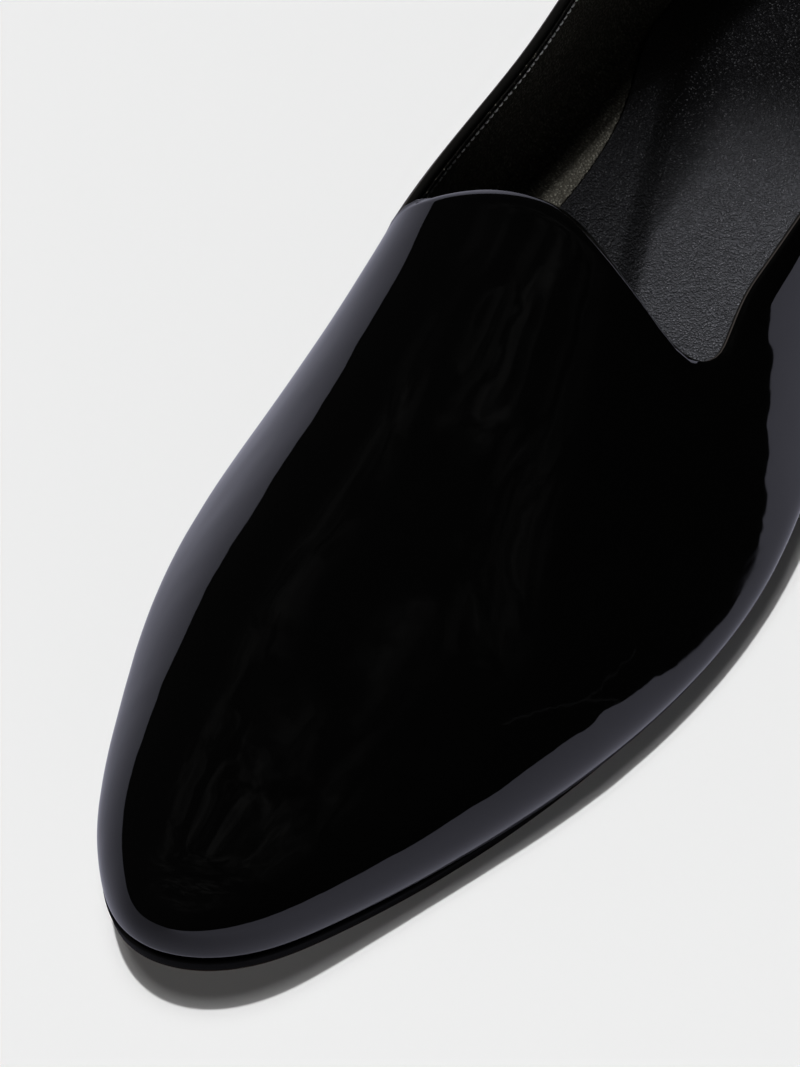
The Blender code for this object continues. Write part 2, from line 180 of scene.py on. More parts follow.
@dataclass
class Last:
    """The shape that the shoe is made on, as a function of place and turn."""

    length: float = 268.0
    ball_width: float = 86.0
    instep_height: float = 54.0
    heel_height: float = 9.0
    toe_spring: float = 9.0
    toe_tip_x: float = -9.5
    heel_tip_x: float = 2.5
    toe_tip_radius: float = 13.0
    heel_tip_radius: float = 27.0
    toe_wall: float = 52.0
    heel_wall: float = 300.0
    back_swell: float = 2.6
    back_swell_height: float = 40.0
    back_swell_reach: int = 10
    ball_flat_start: float = 66.0
    ball_flat_end: float = 98.0
    toe_spring_power: float = 2.2
    waist_end: float = 217.0
    sole_thickness: float = 3.2
    clearance: float = 0.3
    fan_centre: float = 0.42
    sections: Sequence[Section] = SECTIONS
    origin: np.ndarray = field(default_factory=lambda: np.zeros(3))

    def __post_init__(self) -> None:
        """Turn the section table into curves along the foot.

        Widths, crowns and sways are divided by the sine of the place, so that the surface closes
        to a round tip at both ends.
        """
        table = {name: np.array([getattr(row, name) for row in self.sections], dtype=float)
                 for name in Section.__dataclass_fields__}
        place = self.place_at(table["from_toe"] / 100 * self.length)
        closing = np.sin(place)
        knots = np.concatenate([[0.0], place, [np.pi]])

        def through(values: np.ndarray, toe: float, heel: float) -> LevelSpline:
            """Curve through the rows' values and one value at each tip."""
            return LevelSpline(knots, np.concatenate([[toe], values, [heel]]))

        def held(values: np.ndarray) -> LevelSpline:
            """Curve that keeps its outer rows' values to the tips."""
            return through(values, values[0], values[-1])

        lateral = table["lateral"] / 100 * self.ball_width
        medial = table["medial"] / 100 * self.ball_width
        crown = table["crown"] / 100 * self.instep_height
        held_names = ("roll_l", "roll_m", "rise_l", "rise_m", "full", "lean_l", "lean_m", "shoulder")
        self.curves = {name: held(table[name]) for name in held_names}
        self.curves["middle"] = through((lateral - medial) / 2, self.toe_tip_x, self.heel_tip_x)
        self.curves["width"] = through((lateral + medial) / 2 / closing,
                                       math.sqrt(self.toe_tip_radius * self.length / 2),
                                       math.sqrt(self.heel_tip_radius * self.length / 2))
        self.curves["crown"] = through(crown / closing, self.toe_wall, self.heel_wall)
        self.curves["sway"] = held(table["sway"] / closing)

    def place_at(self, from_toe: np.ndarray) -> np.ndarray:
        """Angle along the foot for a distance from the toe tip."""
        return np.arccos(1 - 2 * np.asarray(from_toe) / self.length)

    def distance_at(self, place: np.ndarray) -> np.ndarray:
        """Distance from the toe tip for an angle along the foot."""
        return self.length * (1 - np.cos(place)) / 2

    def underside(self, from_toe: np.ndarray) -> np.ndarray:
        """Height of the outsole's underside: toe spring, flat ball, waist and heel seat.

        Args:
            from_toe: distances from the toe tip in mm.

        Returns:
            Heights in mm over the floor.
        """
        spring = np.clip(1 - from_toe / self.ball_flat_start, 0, 1)**self.toe_spring_power
        waist = (from_toe - self.ball_flat_end) / (self.waist_end - self.ball_flat_end)
        return self.toe_spring * spring + self.heel_height * smooth_step(waist)

    def sole_top(self, from_toe: np.ndarray) -> np.ndarray:
        """Height of the outsole's upper face."""
        return self.underside(from_toe) + self.sole_thickness

    def feather_line(self, place: np.ndarray, side: np.ndarray) -> tuple[np.ndarray, np.ndarray]:
        """Plan point (x, t) of the feather line: the middle line plus or minus the half width."""
        reach = np.sin(place) * self.curves["width"](place)
        return self.curves["middle"](place) + side * reach, self.distance_at(place)

    def feather_normal(self, place: np.ndarray, side: np.ndarray) -> tuple[np.ndarray, np.ndarray]:
        """Outward plan normal (x, t) of the feather line, from its run over a small step.

        Args:
            place: angles along the foot.
            side: sign of the side's x.

        Returns:
            The normal's x and t.
        """
        before = self.feather_line(np.clip(place - SMALL, SMALL, np.pi - 3 * SMALL), side)
        after = self.feather_line(np.clip(place + SMALL, 3 * SMALL, np.pi - SMALL), side)
        run_x, run_t = after[0] - before[0], after[1] - before[1]
        length = np.hypot(run_x, run_t)
        return side * run_t / length, -side * run_x / length

    def point(self, place: np.ndarray, turn: np.ndarray) -> np.ndarray:
        """Point (x, t, z) of the upper's outer surface.

        Each section is an arch from feather line to feather line: across is the half width times
        the cosine of the turn, up is the crown times its sine, with leaning flanks and a crown
        that sways to the medial side. The lower edge swells out along the plan normal, and the
        heel's back swells out in the same way.

        Args:
            place: angles along the foot.
            turn: turns over the section.

        Returns:
            Points in mm, with x, t and z on the last axis.
        """
        curve = self.curves
        closing = np.sin(place)
        across, up = np.cos(turn), np.sin(turn)
        lateral_share = (1 + across) / 2
        lean = curve["lean_m"](place)
        lean = lean + (curve["lean_l"](place) - lean) * lateral_share
        flank = 1 + curve["full"](place) * up**2 + lean * up
        x = curve["middle"](place) + closing * curve["width"](place) * across * flank
        x = x + closing * curve["sway"](place) * up**2
        t = self.distance_at(place)
        height = closing * curve["crown"](place) * up * (1 + curve["shoulder"](place) * across**2)
        z = self.sole_top(t) + self.clearance + height
        for side, share, roll, rise in ((Side.LATERAL, lateral_share, "roll_l", "rise_l"),
                                        (Side.MEDIAL, 1 - lateral_share, "roll_m", "rise_m")):
            normal_x, normal_t = self.feather_normal(place, side.value)
            grown = 1 - (1 - np.clip(height / curve[rise](place), 0, 1))**3
            swell = curve[roll](place) * grown * share
            x = x + normal_x * swell
            t = t + normal_t * swell
        back = ((1 - np.cos(place)) / 2)**self.back_swell_reach
        share_up = height / self.back_swell_height
        t = t + back * self.back_swell * 4 * share_up * (1 - share_up)
        return np.stack([x, t, z], axis=-1)

    def fan_point(self, angle: np.ndarray, lift: np.ndarray) -> np.ndarray:
        """Point on a fan of lines that rise from the feather line to the opening.

        The angle and the lift make a point of a disc, moved so that the fan's centre lies inside the
        opening, and the disc is lifted to the upper half of a ball.

        Args:
            angle: angles round the foot, 0 at the heel and pi at the toe.
            lift: lifts up the lines, 0 at the feather line.

        Returns:
            Points in mm.
        """
        disc = np.cos(lift) * np.exp(1j * angle)
        disc = (disc + self.fan_centre) / (1 + self.fan_centre * disc)
        up = np.sqrt(np.clip(1 - np.abs(disc)**2, 0, None))
        place = np.arccos(np.clip(-disc.real, -1, 1))
        return self.point(place, np.arctan2(up, disc.imag))

    def fan_angles(self, ring: np.ndarray) -> np.ndarray:
        """Fan angles whose lines start at the given ring angles of the feather line."""
        disc = np.exp(1j * ring)
        return np.angle((disc - self.fan_centre) / (1 - self.fan_centre * disc)) % (2 * np.pi)

    def height_lifts(self, ring: np.ndarray, heights: np.ndarray) -> np.ndarray:
        """Lifts at which the fan's lines reach given heights over the feather line.

        Near the feather line the height is the crown curve times the sine of the lift, stretched
        by the fan's centre lying off the middle.

        Args:
            ring: ring angles of the feather line.
            heights: heights in mm.

        Returns:
            One row of lifts for each height.
        """
        angle = self.fan_angles(ring)
        stretch = np.abs(1 + self.fan_centre * np.exp(1j * angle)) / math.sqrt(1 - self.fan_centre**2)
        crown = self.curves["crown"](np.abs(np.pi - ring))
        return np.arcsin(heights[:, None] / crown * stretch)

    def plan_loop(self, ring: np.ndarray, inset: Callable[[np.ndarray, np.ndarray], np.ndarray],
                  height: Callable[[np.ndarray], np.ndarray]) -> np.ndarray:
        """Loop inside the feather line.

        Args:
            ring: ring angles, 0 at the heel, pi at the toe, lateral side first.
            inset: inset in mm as a function of the distance from the toe and the side's sign.
            height: height in mm as a function of the distance from the toe.

        Returns:
            Points in mm, one for each ring angle.
        """
        place = np.abs(np.pi - ring)
        side = np.where(ring <= np.pi, Side.LATERAL.value, Side.MEDIAL.value)
        x, t = self.feather_line(place, side)
        normal_x, normal_t = self.feather_normal(place, side)
        step = inset(t, side)
        x, t = x - step * normal_x, t - step * normal_t
        return np.stack([x, t, height(t)], axis=-1)

    def in_frame(self, points: np.ndarray) -> np.ndarray:
        """Points of the last in the shared frame, in metres."""
        return (points - self.origin) * MM


@dataclass
class Topline:
    """Edge of the opening: tongue edge, a rounded dip on each side, quarters rising to the back."""

    tongue_middle_x: float = -6.0
    tongue_from_toe: float = 140.1
    lateral_dip_x: float = 25.0
    lateral_dip_from_toe: float = 133.3
    lateral_radius: float = 13.0
    medial_dip_x: float = -34.0
    medial_dip_from_toe: float = 141.5
    medial_radius: float = 4.0
    quarter_start: float = 130.0
    quarter_height: float = 36.5
    quarter_rise: float = 9.0
    back_rise: float = 14.0
    lateral_sink: float = 2.6
    sink_start: float = 138.0
    sink_end: float = 160.0
    medial_lift: float = 0.4
    medial_start: float = 140.0
    medial_full: float = 185.0
    medial_fade: float = 190.0
    medial_end: float = 255.0
    lift_limit: float = 1.45
    lift_samples: int = 240
    halvings: int = 36

    def depth(self, point: np.ndarray, length: float) -> np.ndarray:
        """How far a point lies inside the opening: behind the tongue and over the quarters.

        The tongue's edge bends as a parabola to a dip on each side. The quarters' edge rises as
        a line and a cube, sunk beside the lateral dip and lifted along the medial arch. The two
        meet in an arc of the side's radius.

        Args:
            point: points in mm.
            length: length of the last.

        Returns:
            Depths in mm, above 0 inside the opening.
        """
        run, t = point[..., 0] - self.tongue_middle_x, point[..., 1]
        lateral = (run / (self.lateral_dip_x - self.tongue_middle_x))**2
        medial = (run / (self.medial_dip_x - self.tongue_middle_x))**2
        bend = np.where(run > 0, (self.lateral_dip_from_toe - self.tongue_from_toe) * lateral,
                        (self.medial_dip_from_toe - self.tongue_from_toe) * medial)
        behind = t - self.tongue_from_toe - bend
        share = (t - self.quarter_start) / (length - self.quarter_start)
        rise = self.quarter_rise * share + self.back_rise * np.clip(share, 0, None)**3
        sunk = 1 - smooth_step((t - self.sink_start) / (self.sink_end - self.sink_start))
        lifted = plateau(t, self.medial_start, self.medial_full, self.medial_fade, self.medial_end)
        rise = rise + np.where(run > 0, -self.lateral_sink * sunk, self.medial_lift * lifted)
        above = point[..., 2] - self.quarter_height - rise
        radius = np.where(run > 0, self.lateral_radius, self.medial_radius)
        return radius - np.hypot(np.clip(radius - behind, 0, None), np.clip(radius - above, 0, None))

    def lifts(self, last: Last, angle: np.ndarray) -> np.ndarray:
        """Lift at which each line of the fan meets the opening, by halving its first crossing.

        Args:
            last: the shape.
            angle: fan angles.

        Returns:
            One lift for each angle.
        """
        lifts = np.linspace(0, self.lift_limit, self.lift_samples)
        inside = self.depth(last.fan_point(angle[:, None], lifts[None, :]), last.length) > 0
        first = np.argmax(inside, axis=1)
        low, high = lifts[first - 1], lifts[first]
        for _ in range(self.halvings):
            middle = (low + high) / 2
            crossed = self.depth(last.fan_point(angle, middle), last.length) > 0
            low, high = np.where(crossed, low, middle), np.where(crossed, middle, high)
        return (low + high) / 2


class Shell:
    """Rows of the last's surface between the feather line and the topline, with their normals."""

    def __init__(self, last: Last, topline: Topline, around: int) -> None:
        """Lay the fan's lines.

        Args:
            last: the shape.
            topline: where the lines end.
            around: number of lines.
        """
        self.last = last
        self.ring = ring_angles(around)
        self.angle = last.fan_angles(self.ring)
        self.top = topline.lifts(last, self.angle)
        step = last.fan_point(self.angle, self.top) - last.fan_point(self.angle, self.top - SMALL)
        self.speed = np.linalg.norm(step, axis=-1) / SMALL

    def below_edge(self, distances: np.ndarray) -> np.ndarray:
        """Lifts at given distances in mm below the topline, one row for each distance."""
        return self.top - np.asarray(distances)[:, None] / self.speed

    def at_heights(self, heights: np.ndarray) -> np.ndarray:
        """Lifts at given heights in mm over the feather line, one row for each height."""
        return self.last.height_lifts(self.ring, np.asarray(heights))

    @staticmethod
    def between(first: np.ndarray, last: np.ndarray, count: int) -> np.ndarray:
        """Rows of lifts evenly between two rows, without those two."""
        share = np.linspace(0, 1, count + 2)[1:-1, None]
        return first + share * (last - first)

    def surface(self, lift: np.ndarray) -> tuple[np.ndarray, np.ndarray, np.ndarray]:
        """Points, outward normals and upward tangents of rows of lifts.

        The normal is the cross product of the steps up the line and round the ring.

        Args:
            lift: rows of lifts.

        Returns:
            Points in mm, normals and tangents.
        """
        fan = self.last.fan_point
        point = fan(self.angle, lift)
        upward = fan(self.angle, lift + SMALL) - point
        around = fan(self.angle + SMALL, lift) - fan(self.angle - SMALL, lift)
        return point, unit(np.cross(upward, around)), unit(upward)


@dataclass(frozen=True)
class Crease:
    """A soft trough with raised lips, drawn on the vamp in plan.

    The middle line is a parabola from start to end, given as x and distance from the toe, and
    bows out sideways by bow. Width is the trough's half width and depth its depth, in mm.
    """

    start_x: float
    start_t: float
    end_x: float
    end_t: float
    bow: float
    width: float
    depth: float

    def relief(self, point: np.ndarray) -> np.ndarray:
        """Height of the crease at points: a trough with lips, fading out at both ends.

        The trough is one less the square of the share aside, times its bell curve.

        Args:
            point: points in mm.

        Returns:
            Heights in mm.
        """
        run_x, run_t = self.end_x - self.start_x, self.end_t - self.start_t
        length = math.hypot(run_x, run_t)
        from_x, from_t = point[..., 0] - self.start_x, point[..., 1] - self.start_t
        along = (from_x * run_x + from_t * run_t) / length**2
        aside = (from_t * run_x - from_x * run_t) / length - 4 * self.bow * along * (1 - along)
        across = (aside / self.width)**2
        fade = np.clip(1 - (2 * along - 1)**2, 0, None)**0.75
        return -self.depth * (1 - across) * np.exp(-across) * fade


HAIRLINES = (((24.5, 61.5), (33.8, 76.0)), ((33.8, 76.0), (36.3, 89.5)), ((33.8, 76.0), (38.2, 81.5)))


@dataclass
class LeatherPull:
    """Uneven pull of the leather over the last: slow waves and a few listed creases."""

    waves: int = 30
    shortest: float = 5.0
    longest: float = 18.0
    slope: float = 0.0019
    seed: int = 11
    creases: Sequence[Crease] = (
        Crease(20.0, 50.0, 44.0, 84.0, 2.5, 1.6, 0.030),
        Crease(31.0, 70.0, 45.0, 92.0, -2.0, 1.8, 0.028),
        Crease(28.0, 62.0, 41.0, 88.0, 1.5, 1.4, 0.022),
        Crease(-41.0, 70.0, -33.0, 104.0, 2.0, 5.0, 0.080),
        Crease(-44.0, 92.0, -36.0, 128.0, -1.5, 4.5, 0.060),
        Crease(12.0, 108.0, 40.0, 100.0, 3.0, 4.0, 0.030),
        Crease(-24.0, 112.0, 6.0, 118.0, 3.5, 4.5, 0.025),
    )

    def relief(self, point: np.ndarray) -> np.ndarray:
        """Height of the leather's pull at points of the upper.

        The waves are sines of the place in space, each with its own direction and length, and
        as high as their length times one common slope.

        Args:
            point: points in mm.

        Returns:
            Heights in mm.
        """
        chance = np.random.default_rng(self.seed)
        direction = unit(chance.normal(size=(self.waves, 3)))
        length = chance.uniform(self.shortest, self.longest, self.waves)
        phase = chance.uniform(0, 2 * np.pi, self.waves)
        height = np.zeros(point.shape[:-1])
        for heading, span, start in zip(direction, length, phase):
            wave = np.sin(point @ heading * 2 * np.pi / span + start)
            height += self.slope * span / (2 * np.pi) * wave
        for crease in self.creases:
            height += crease.relief(point)
        return height


class NodeBench:
    """A node tree with short calls that add, set and link its nodes."""

    def __init__(self, tree: bpy.types.NodeTree) -> None:
        """Take the tree to work on."""
        self.tree = tree

    def add(self, kind: str, values: dict[str, object] | None = None,
            **settings: object) -> bpy.types.Node:
        """Add one node.

        Args:
            kind: node type without the ShaderNode prefix.
            values: constants for input sockets by name.
            settings: properties of the node.

        Returns:
            The new node.
        """
        prefix = "" if kind.startswith("NodeGroup") else "ShaderNode"
        node = self.tree.nodes.new(prefix + kind)
        for name, value in settings.items():
            setattr(node, name, value)
        for name, value in (values or {}).items():
            node.inputs[name].default_value = value
        return node

    def link(self, source: bpy.types.NodeSocket, target: bpy.types.NodeSocket) -> None:
        """Join an output to an input."""
        self.tree.links.new(source, target)

    def feed(self, value: object, target: bpy.types.NodeSocket) -> None:
        """Give an input another socket's value or a constant.

        Args:
            value: socket or constant.
            target: the input.
        """
        if isinstance(value, bpy.types.NodeSocket):
            self.link(value, target)
        else:
            target.default_value = value

    def noise(self, vector: bpy.types.NodeSocket, scale: object, **shape: float) -> bpy.types.Node:
        """Noise texture.

        Args:
            vector: the place's socket.
            scale: socket or number.
            shape: detail, roughness and distortion by their sockets' names.

        Returns:
            The node.
        """
        node = self.add("TexNoise", dict(shape))
        self.link(vector, node.inputs["Vector"])
        self.feed(scale, node.inputs["Scale"])
        return node

    def math(self, operation: str, first: object, second: object = 0.0) -> bpy.types.NodeSocket:
        """Result of a Math node.

        Args:
            operation: Blender's name of the operation.
            first: socket or number.
            second: socket or number.

        Returns:
            The result's socket.
        """
        node = self.add("Math", operation=operation)
        self.feed(first, node.inputs[0])
        self.feed(second, node.inputs[1])
        return node.outputs[0]

    def remap(self, value: bpy.types.NodeSocket, span: tuple[float, float],
              to: tuple[float, float]) -> bpy.types.NodeSocket:
        """Smooth change from one range to another.

        Args:
            value: the socket to read.
            span: range of the value.
            to: results at both ends of the range.

        Returns:
            The result's socket.
        """
        node = self.add("MapRange", {"From Min": span[0], "From Max": span[1], "To Min": to[0],
                                     "To Max": to[1]}, interpolation_type="SMOOTHSTEP")
        self.link(value, node.inputs["Value"])
        return node.outputs["Result"]

    def blend(self, share: bpy.types.NodeSocket, first: object, second: object) -> bpy.types.NodeSocket:
        """Colour between two colours.

        Args:
            share: share of the second colour.
            first: socket or three numbers.
            second: socket or three numbers.

        Returns:
            The colour's socket.
        """
        node = self.add("Mix", data_type="RGBA")
        self.link(share, node.inputs["Factor"])
        for target, colour in ((node.inputs[6], first), (node.inputs[7], second)):
            self.feed((*colour, 1) if isinstance(colour, tuple) else colour, target)
        return node.outputs[2]


class SharedEffects:
    """Shader groups that the finishes draw on, each built once."""

    GRAIN_WARP = 0.0006
    PEBBLE_SPAN = (0.1, 0.75)
    PORE_FINENESS = 1.6
    PORE_HEIGHT = 0.6
    SWELL_FINENESS = 0.38
    SWELL_HEIGHT = 0.6
    FLECK_SPAN = (0.12, 0.46)
    FLECK_CHANCE = (0.62, 0.82)
    RUB_TURN = (0.0, 0.0, 0.25)
    RUB_STRETCH = (1.0, 0.22, 0.6)
    RUB_CLOUDS = 0.3
    RUB_PATCH_SPAN = (0.45, 0.68)
    RUB_LINE_SPAN = (0.50, 0.72)
    HAIRLINE_FINENESS = 320.0
    HAIRLINE_WANDER = (0.0024, 0.0024, 0.0)
    HAIRLINE_SPAN = (0.3, 1.0)

    def __init__(self) -> None:
        """Build the grain, the rub marks and the hairline."""
        self.grain = self._grain()
        self.rubs = self._rubs()
        self.hairline = self._hairline()

    @staticmethod
    def _group(name: str, inputs: Sequence[tuple[str, str]],
               outputs: Sequence[str]) -> tuple[NodeBench, bpy.types.Node, bpy.types.Node]:
        """Empty group with named sockets.

        Args:
            name: the group's name.
            inputs: name and socket type of each input.
            outputs: name of each float output.

        Returns:
            Bench, input node and output node.
        """
        tree = bpy.data.node_groups.new(name, "ShaderNodeTree")
        for label, kind in inputs:
            tree.interface.new_socket(label, in_out="INPUT", socket_type=kind)
        for label in outputs:
            tree.interface.new_socket(label, in_out="OUTPUT", socket_type="NodeSocketFloat")
        bench = NodeBench(tree)
        return bench, bench.add("NodeGroupInput"), bench.add("NodeGroupOutput")

    def _grain(self) -> bpy.types.NodeTree:
        """Leather grain: rounded pebbles with furrows, pores and slow swells, and flecks on some.

        Returns:
            Group that gives the grain's height and its flecks; on the sock the flecks are painted
            glints.
        """
        bench, given, out = self._group(
            "leather_grain", (("Vector", "NodeSocketVector"), ("Cells", "NodeSocketFloat")),
            ("Height", "FleckAndGlint"))
        warp = bench.noise(given.outputs["Vector"], given.outputs["Cells"], Detail=2.0)
        push = bench.add("VectorMath", {"Scale": self.GRAIN_WARP}, operation="SCALE")
        bench.link(warp.outputs["Color"], push.inputs["Vector"])
        moved = bench.add("VectorMath", operation="ADD")
        bench.link(given.outputs["Vector"], moved.inputs[0])
        bench.link(push.outputs["Vector"], moved.inputs[1])
        cells = bench.add("TexVoronoi", feature="F1")
        bench.link(moved.outputs["Vector"], cells.inputs["Vector"])
        bench.link(given.outputs["Cells"], cells.inputs["Scale"])
        furrow = bench.remap(cells.outputs["Distance"], self.PEBBLE_SPAN, (1.0, 0.0))
        finer = bench.math("MULTIPLY", given.outputs["Cells"], self.PORE_FINENESS)
        pores = bench.noise(moved.outputs["Vector"], finer, Detail=3.0)
        fine = bench.math("MULTIPLY", pores.outputs["Fac"], self.PORE_HEIGHT)
        coarser = bench.math("MULTIPLY", given.outputs["Cells"], self.SWELL_FINENESS)
        swell = bench.noise(given.outputs["Vector"], coarser, Detail=1.0)
        centred = bench.math("SUBTRACT", swell.outputs["Fac"], 0.5)
        broad = bench.math("MULTIPLY", centred, self.SWELL_HEIGHT)
        bench.link(bench.math("ADD", bench.math("ADD", furrow, fine), broad), out.inputs["Height"])
        spot = bench.remap(cells.outputs["Distance"], self.FLECK_SPAN, (1.0, 0.0))
        pick = bench.add("SeparateColor")
        bench.link(cells.outputs["Color"], pick.inputs["Color"])
        chosen = bench.remap(pick.outputs["Red"], self.FLECK_CHANCE, (0.0, 1.0))
        bench.link(bench.math("MULTIPLY", spot, chosen), out.inputs["FleckAndGlint"])
        return bench.tree

    def _rubs(self) -> bpy.types.NodeTree:
        """Rub marks: streaks drawn out along the foot, strong in cloudy patches only.

        Returns:
            Group that gives the marks.
        """
        bench, given, out = self._group(
            "rub_marks", (("Vector", "NodeSocketVector"), ("Scale", "NodeSocketFloat")), ("Mark",))
        stretch = bench.add("Mapping", {"Rotation": self.RUB_TURN, "Scale": self.RUB_STRETCH})
        bench.link(given.outputs["Vector"], stretch.inputs["Vector"])
        streak = bench.noise(stretch.outputs["Vector"], given.outputs["Scale"], Detail=6.0,
                             Roughness=0.62, Distortion=0.7)
        coarser = bench.math("MULTIPLY", given.outputs["Scale"], self.RUB_CLOUDS)
        cloud = bench.noise(given.outputs["Vector"], coarser, Detail=2.0)
        patch = bench.remap(cloud.outputs["Fac"], self.RUB_PATCH_SPAN, (0.0, 1.0))
        line = bench.remap(streak.outputs["Fac"], self.RUB_LINE_SPAN, (0.0, 1.0))
        bench.link(bench.math("MULTIPLY", patch, line), out.inputs["Mark"])
        return bench.tree

    def _hairline(self) -> bpy.types.NodeTree:
        """Hairline crack in a film: closeness to a straight run in plan, with a slight wander.

        Returns:
            Group that gives the mark.
        """
        bench, given, out = self._group(
            "hairline", (("Vector", "NodeSocketVector"), ("Start", "NodeSocketVector"),
                         ("Run", "NodeSocketVector"), ("Width", "NodeSocketFloat")), ("Mark",))

        def combine(operation: str, first: bpy.types.NodeSocket, second: object) -> bpy.types.Node:
            """Vector Math node on two vectors.

            Args:
                operation: Blender's name of the operation.
                first: a vector's socket.
                second: socket or three numbers.

            Returns:
                The node.
            """
            node = bench.add("VectorMath", operation=operation)
            bench.link(first, node.inputs[0])
            bench.feed(second, node.inputs[1])
            return node

        wander = bench.noise(given.outputs["Vector"], self.HAIRLINE_FINENESS, Detail=3.0)
        aside = combine("SUBTRACT", wander.outputs["Color"], (0.5, 0.5, 0.5))
        push = combine("MULTIPLY", aside.outputs["Vector"], self.HAIRLINE_WANDER)
        flat = combine("MULTIPLY", given.outputs["Vector"], (1.0, 1.0, 0.0))
        spot = combine("ADD", flat.outputs["Vector"], push.outputs["Vector"])
        apart = combine("SUBTRACT", spot.outputs["Vector"], given.outputs["Start"])
        run = given.outputs["Run"]
        reach = combine("DOT_PRODUCT", apart.outputs["Vector"], run).outputs["Value"]
        share = bench.math("DIVIDE", reach, combine("DOT_PRODUCT", run, run).outputs["Value"])
        share.node.use_clamp = True
        foot = bench.add("VectorMath", operation="SCALE")
        bench.link(run, foot.inputs["Vector"])
        bench.link(share, foot.inputs["Scale"])
        gap = combine("DISTANCE", apart.outputs["Vector"], foot.outputs["Vector"]).outputs["Value"]
        widths = bench.math("DIVIDE", gap, given.outputs["Width"])
        bench.link(bench.remap(widths, self.HAIRLINE_SPAN, (1.0, 0.0)), out.inputs["Mark"])
        return bench.tree


@dataclass(frozen=True)
class Finish:
    """What every finish has: colour, gloss and how strongly light mirrors on it."""

    name: str
    colour: tuple[float, float, float]
    roughness: float
    mirror: float = 0.5
    refraction: float = 1.5

    def start(self) -> tuple[bpy.types.Material, NodeBench, bpy.types.Node, bpy.types.NodeSocket]:
        """Material with the plain values set.

        Returns:
            Material, bench of its tree, its shader node and the Object coordinates.
        """
        material = bpy.data.materials.new(self.name)
        material.use_nodes = True
        bench = NodeBench(material.node_tree)
        shader = material.node_tree.nodes["Principled BSDF"]
        shader.inputs["Base Color"].default_value = (*self.colour, 1)
        shader.inputs["Roughness"].default_value = self.roughness
        shader.inputs["Specular IOR Level"].default_value = self.mirror
        shader.inputs["IOR"].default_value = self.refraction
        return material, bench, shader, bench.add("TexCoord").outputs["Object"]

    @staticmethod
    def effect(bench: NodeBench, tree: bpy.types.NodeTree, vector: bpy.types.NodeSocket,
               **values: float | Vector) -> bpy.types.Node:
        """A shared effect placed in a material, with its own values.

        Args:
            bench: bench of the material's tree.
            tree: the effect's group.
            vector: place on the piece.
            values: constants of the effect by name.

        Returns:
            The group's node.
        """
        node = bench.add("Group", node_tree=tree)
        bench.link(vector, node.inputs["Vector"])
        for name, value in values.items():
            node.inputs[name].default_value = value
        return node

    @staticmethod
    def bump(bench: NodeBench, shader: bpy.types.Node, height: bpy.types.NodeSocket, depth: float,
             strength: float) -> None:
        """Drive the shader's normal by a height.

        Args:
            bench: bench of the material's tree.
            shader: the material's shader.
            height: the height's socket.
            depth: depth in metres.
            strength: share of the effect.
        """
        node = bench.add("Bump", {"Strength": strength, "Distance": depth})
        bench.link(height, node.inputs["Height"])
        bench.link(node.outputs["Normal"], shader.inputs["Normal"])


@dataclass(frozen=True)
class PatentFinish(Finish):
    """Black leather under a thick clear film, with faint rub marks and a soft skin ripple."""

    rub_scale: float = 70.0
    rubbed_roughness: float = 0.14
    rubbed_and_reflection_colour: tuple[float, float, float] = (0.0012, 0.0012, 0.0012)
    film: float = 0.2
    film_refraction: float = 1.3
    film_roughness: float = 0.02
    ripple_scale: float = 260.0
    ripple_depth: float = 0.000014
    seam_x: float = 0.0
    seam_behind: float = 0.12
    seam_width: float = 0.0005
    seam_ripples: float = 30.0
    raw_span: tuple[float, float] = (0.22, 0.30)
    inner_span: tuple[float, float] = (0.30, 0.40)
    inner_colour: tuple[float, float, float] = (0.006, 0.0057, 0.0054)
    inner_roughness: float = 0.6
    raw_colour: tuple[float, float, float] = (0.046, 0.040, 0.037)
    hairlines: tuple[tuple[Vector, Vector], ...] = ()
    hairline_width: float = 0.00022
    hairline_colour: tuple[float, float, float] = (0.0035, 0.0035, 0.0036)

    def build(self, effects: SharedEffects) -> bpy.types.Material:
        """Material of the upper: rub marks dull the film and lighten its colour a little, a painted
        reflection; ripple and seam bend it.

        The film ends on the rim, where the edge share passes a third: there the raw edge shows as a
        thin line, and behind it the matte inner side.

        Args:
            effects: the shared groups.

        Returns:
            The material.
        """
        material, bench, shader, spot = self.start()
        share = bench.add("Attribute", attribute_name=PointValue.EDGE_SHARE.value).outputs["Fac"]
        raw = bench.remap(share, self.raw_span, (0.0, 1.0))
        inner = bench.remap(share, self.inner_span, (0.0, 1.0))
        bench.link(bench.remap(raw, (0.0, 1.0), (self.film, 0.0)), shader.inputs["Coat Weight"])
        shader.inputs["Coat IOR"].default_value = self.film_refraction
        shader.inputs["Coat Roughness"].default_value = self.film_roughness
        rubs = self.effect(bench, effects.rubs, spot, Scale=self.rub_scale).outputs["Mark"]
        gloss = bench.remap(rubs, (0.0, 1.0), (self.roughness, self.rubbed_roughness))
        bench.link(bench.math("MAXIMUM", gloss, bench.math("MULTIPLY", raw, self.inner_roughness)),
                   shader.inputs["Roughness"])
        # Painted reflection: the rub marks' slightly lighter colour stands in for faint reflections on
        # the film.
        skin = bench.blend(rubs, self.colour, self.rubbed_and_reflection_colour)
        for first, second in self.hairlines:
            line = self.effect(bench, effects.hairline, spot, Start=first, Run=second - first,
                               Width=self.hairline_width).outputs["Mark"]
            skin = bench.blend(line, skin, self.hairline_colour)
        edge = bench.blend(inner, self.raw_colour, self.inner_colour)
        bench.link(bench.blend(raw, skin, edge), shader.inputs["Base Color"])
        ripple = bench.noise(spot, self.ripple_scale, Detail=1.0)
        place = bench.add("SeparateXYZ")
        bench.link(spot, place.inputs["Vector"])
        aside = bench.math("ABSOLUTE", bench.math("SUBTRACT", place.outputs["X"], self.seam_x))
        groove = bench.remap(aside, (0.0, self.seam_width), (-self.seam_ripples, 0.0))
        behind = bench.math("GREATER_THAN", place.outputs["Y"], self.seam_behind)
        seam = bench.math("MULTIPLY", groove, behind)
        self.bump(bench, shader, bench.math("ADD", ripple.outputs["Fac"], seam), self.ripple_depth, 1.0)
        return material


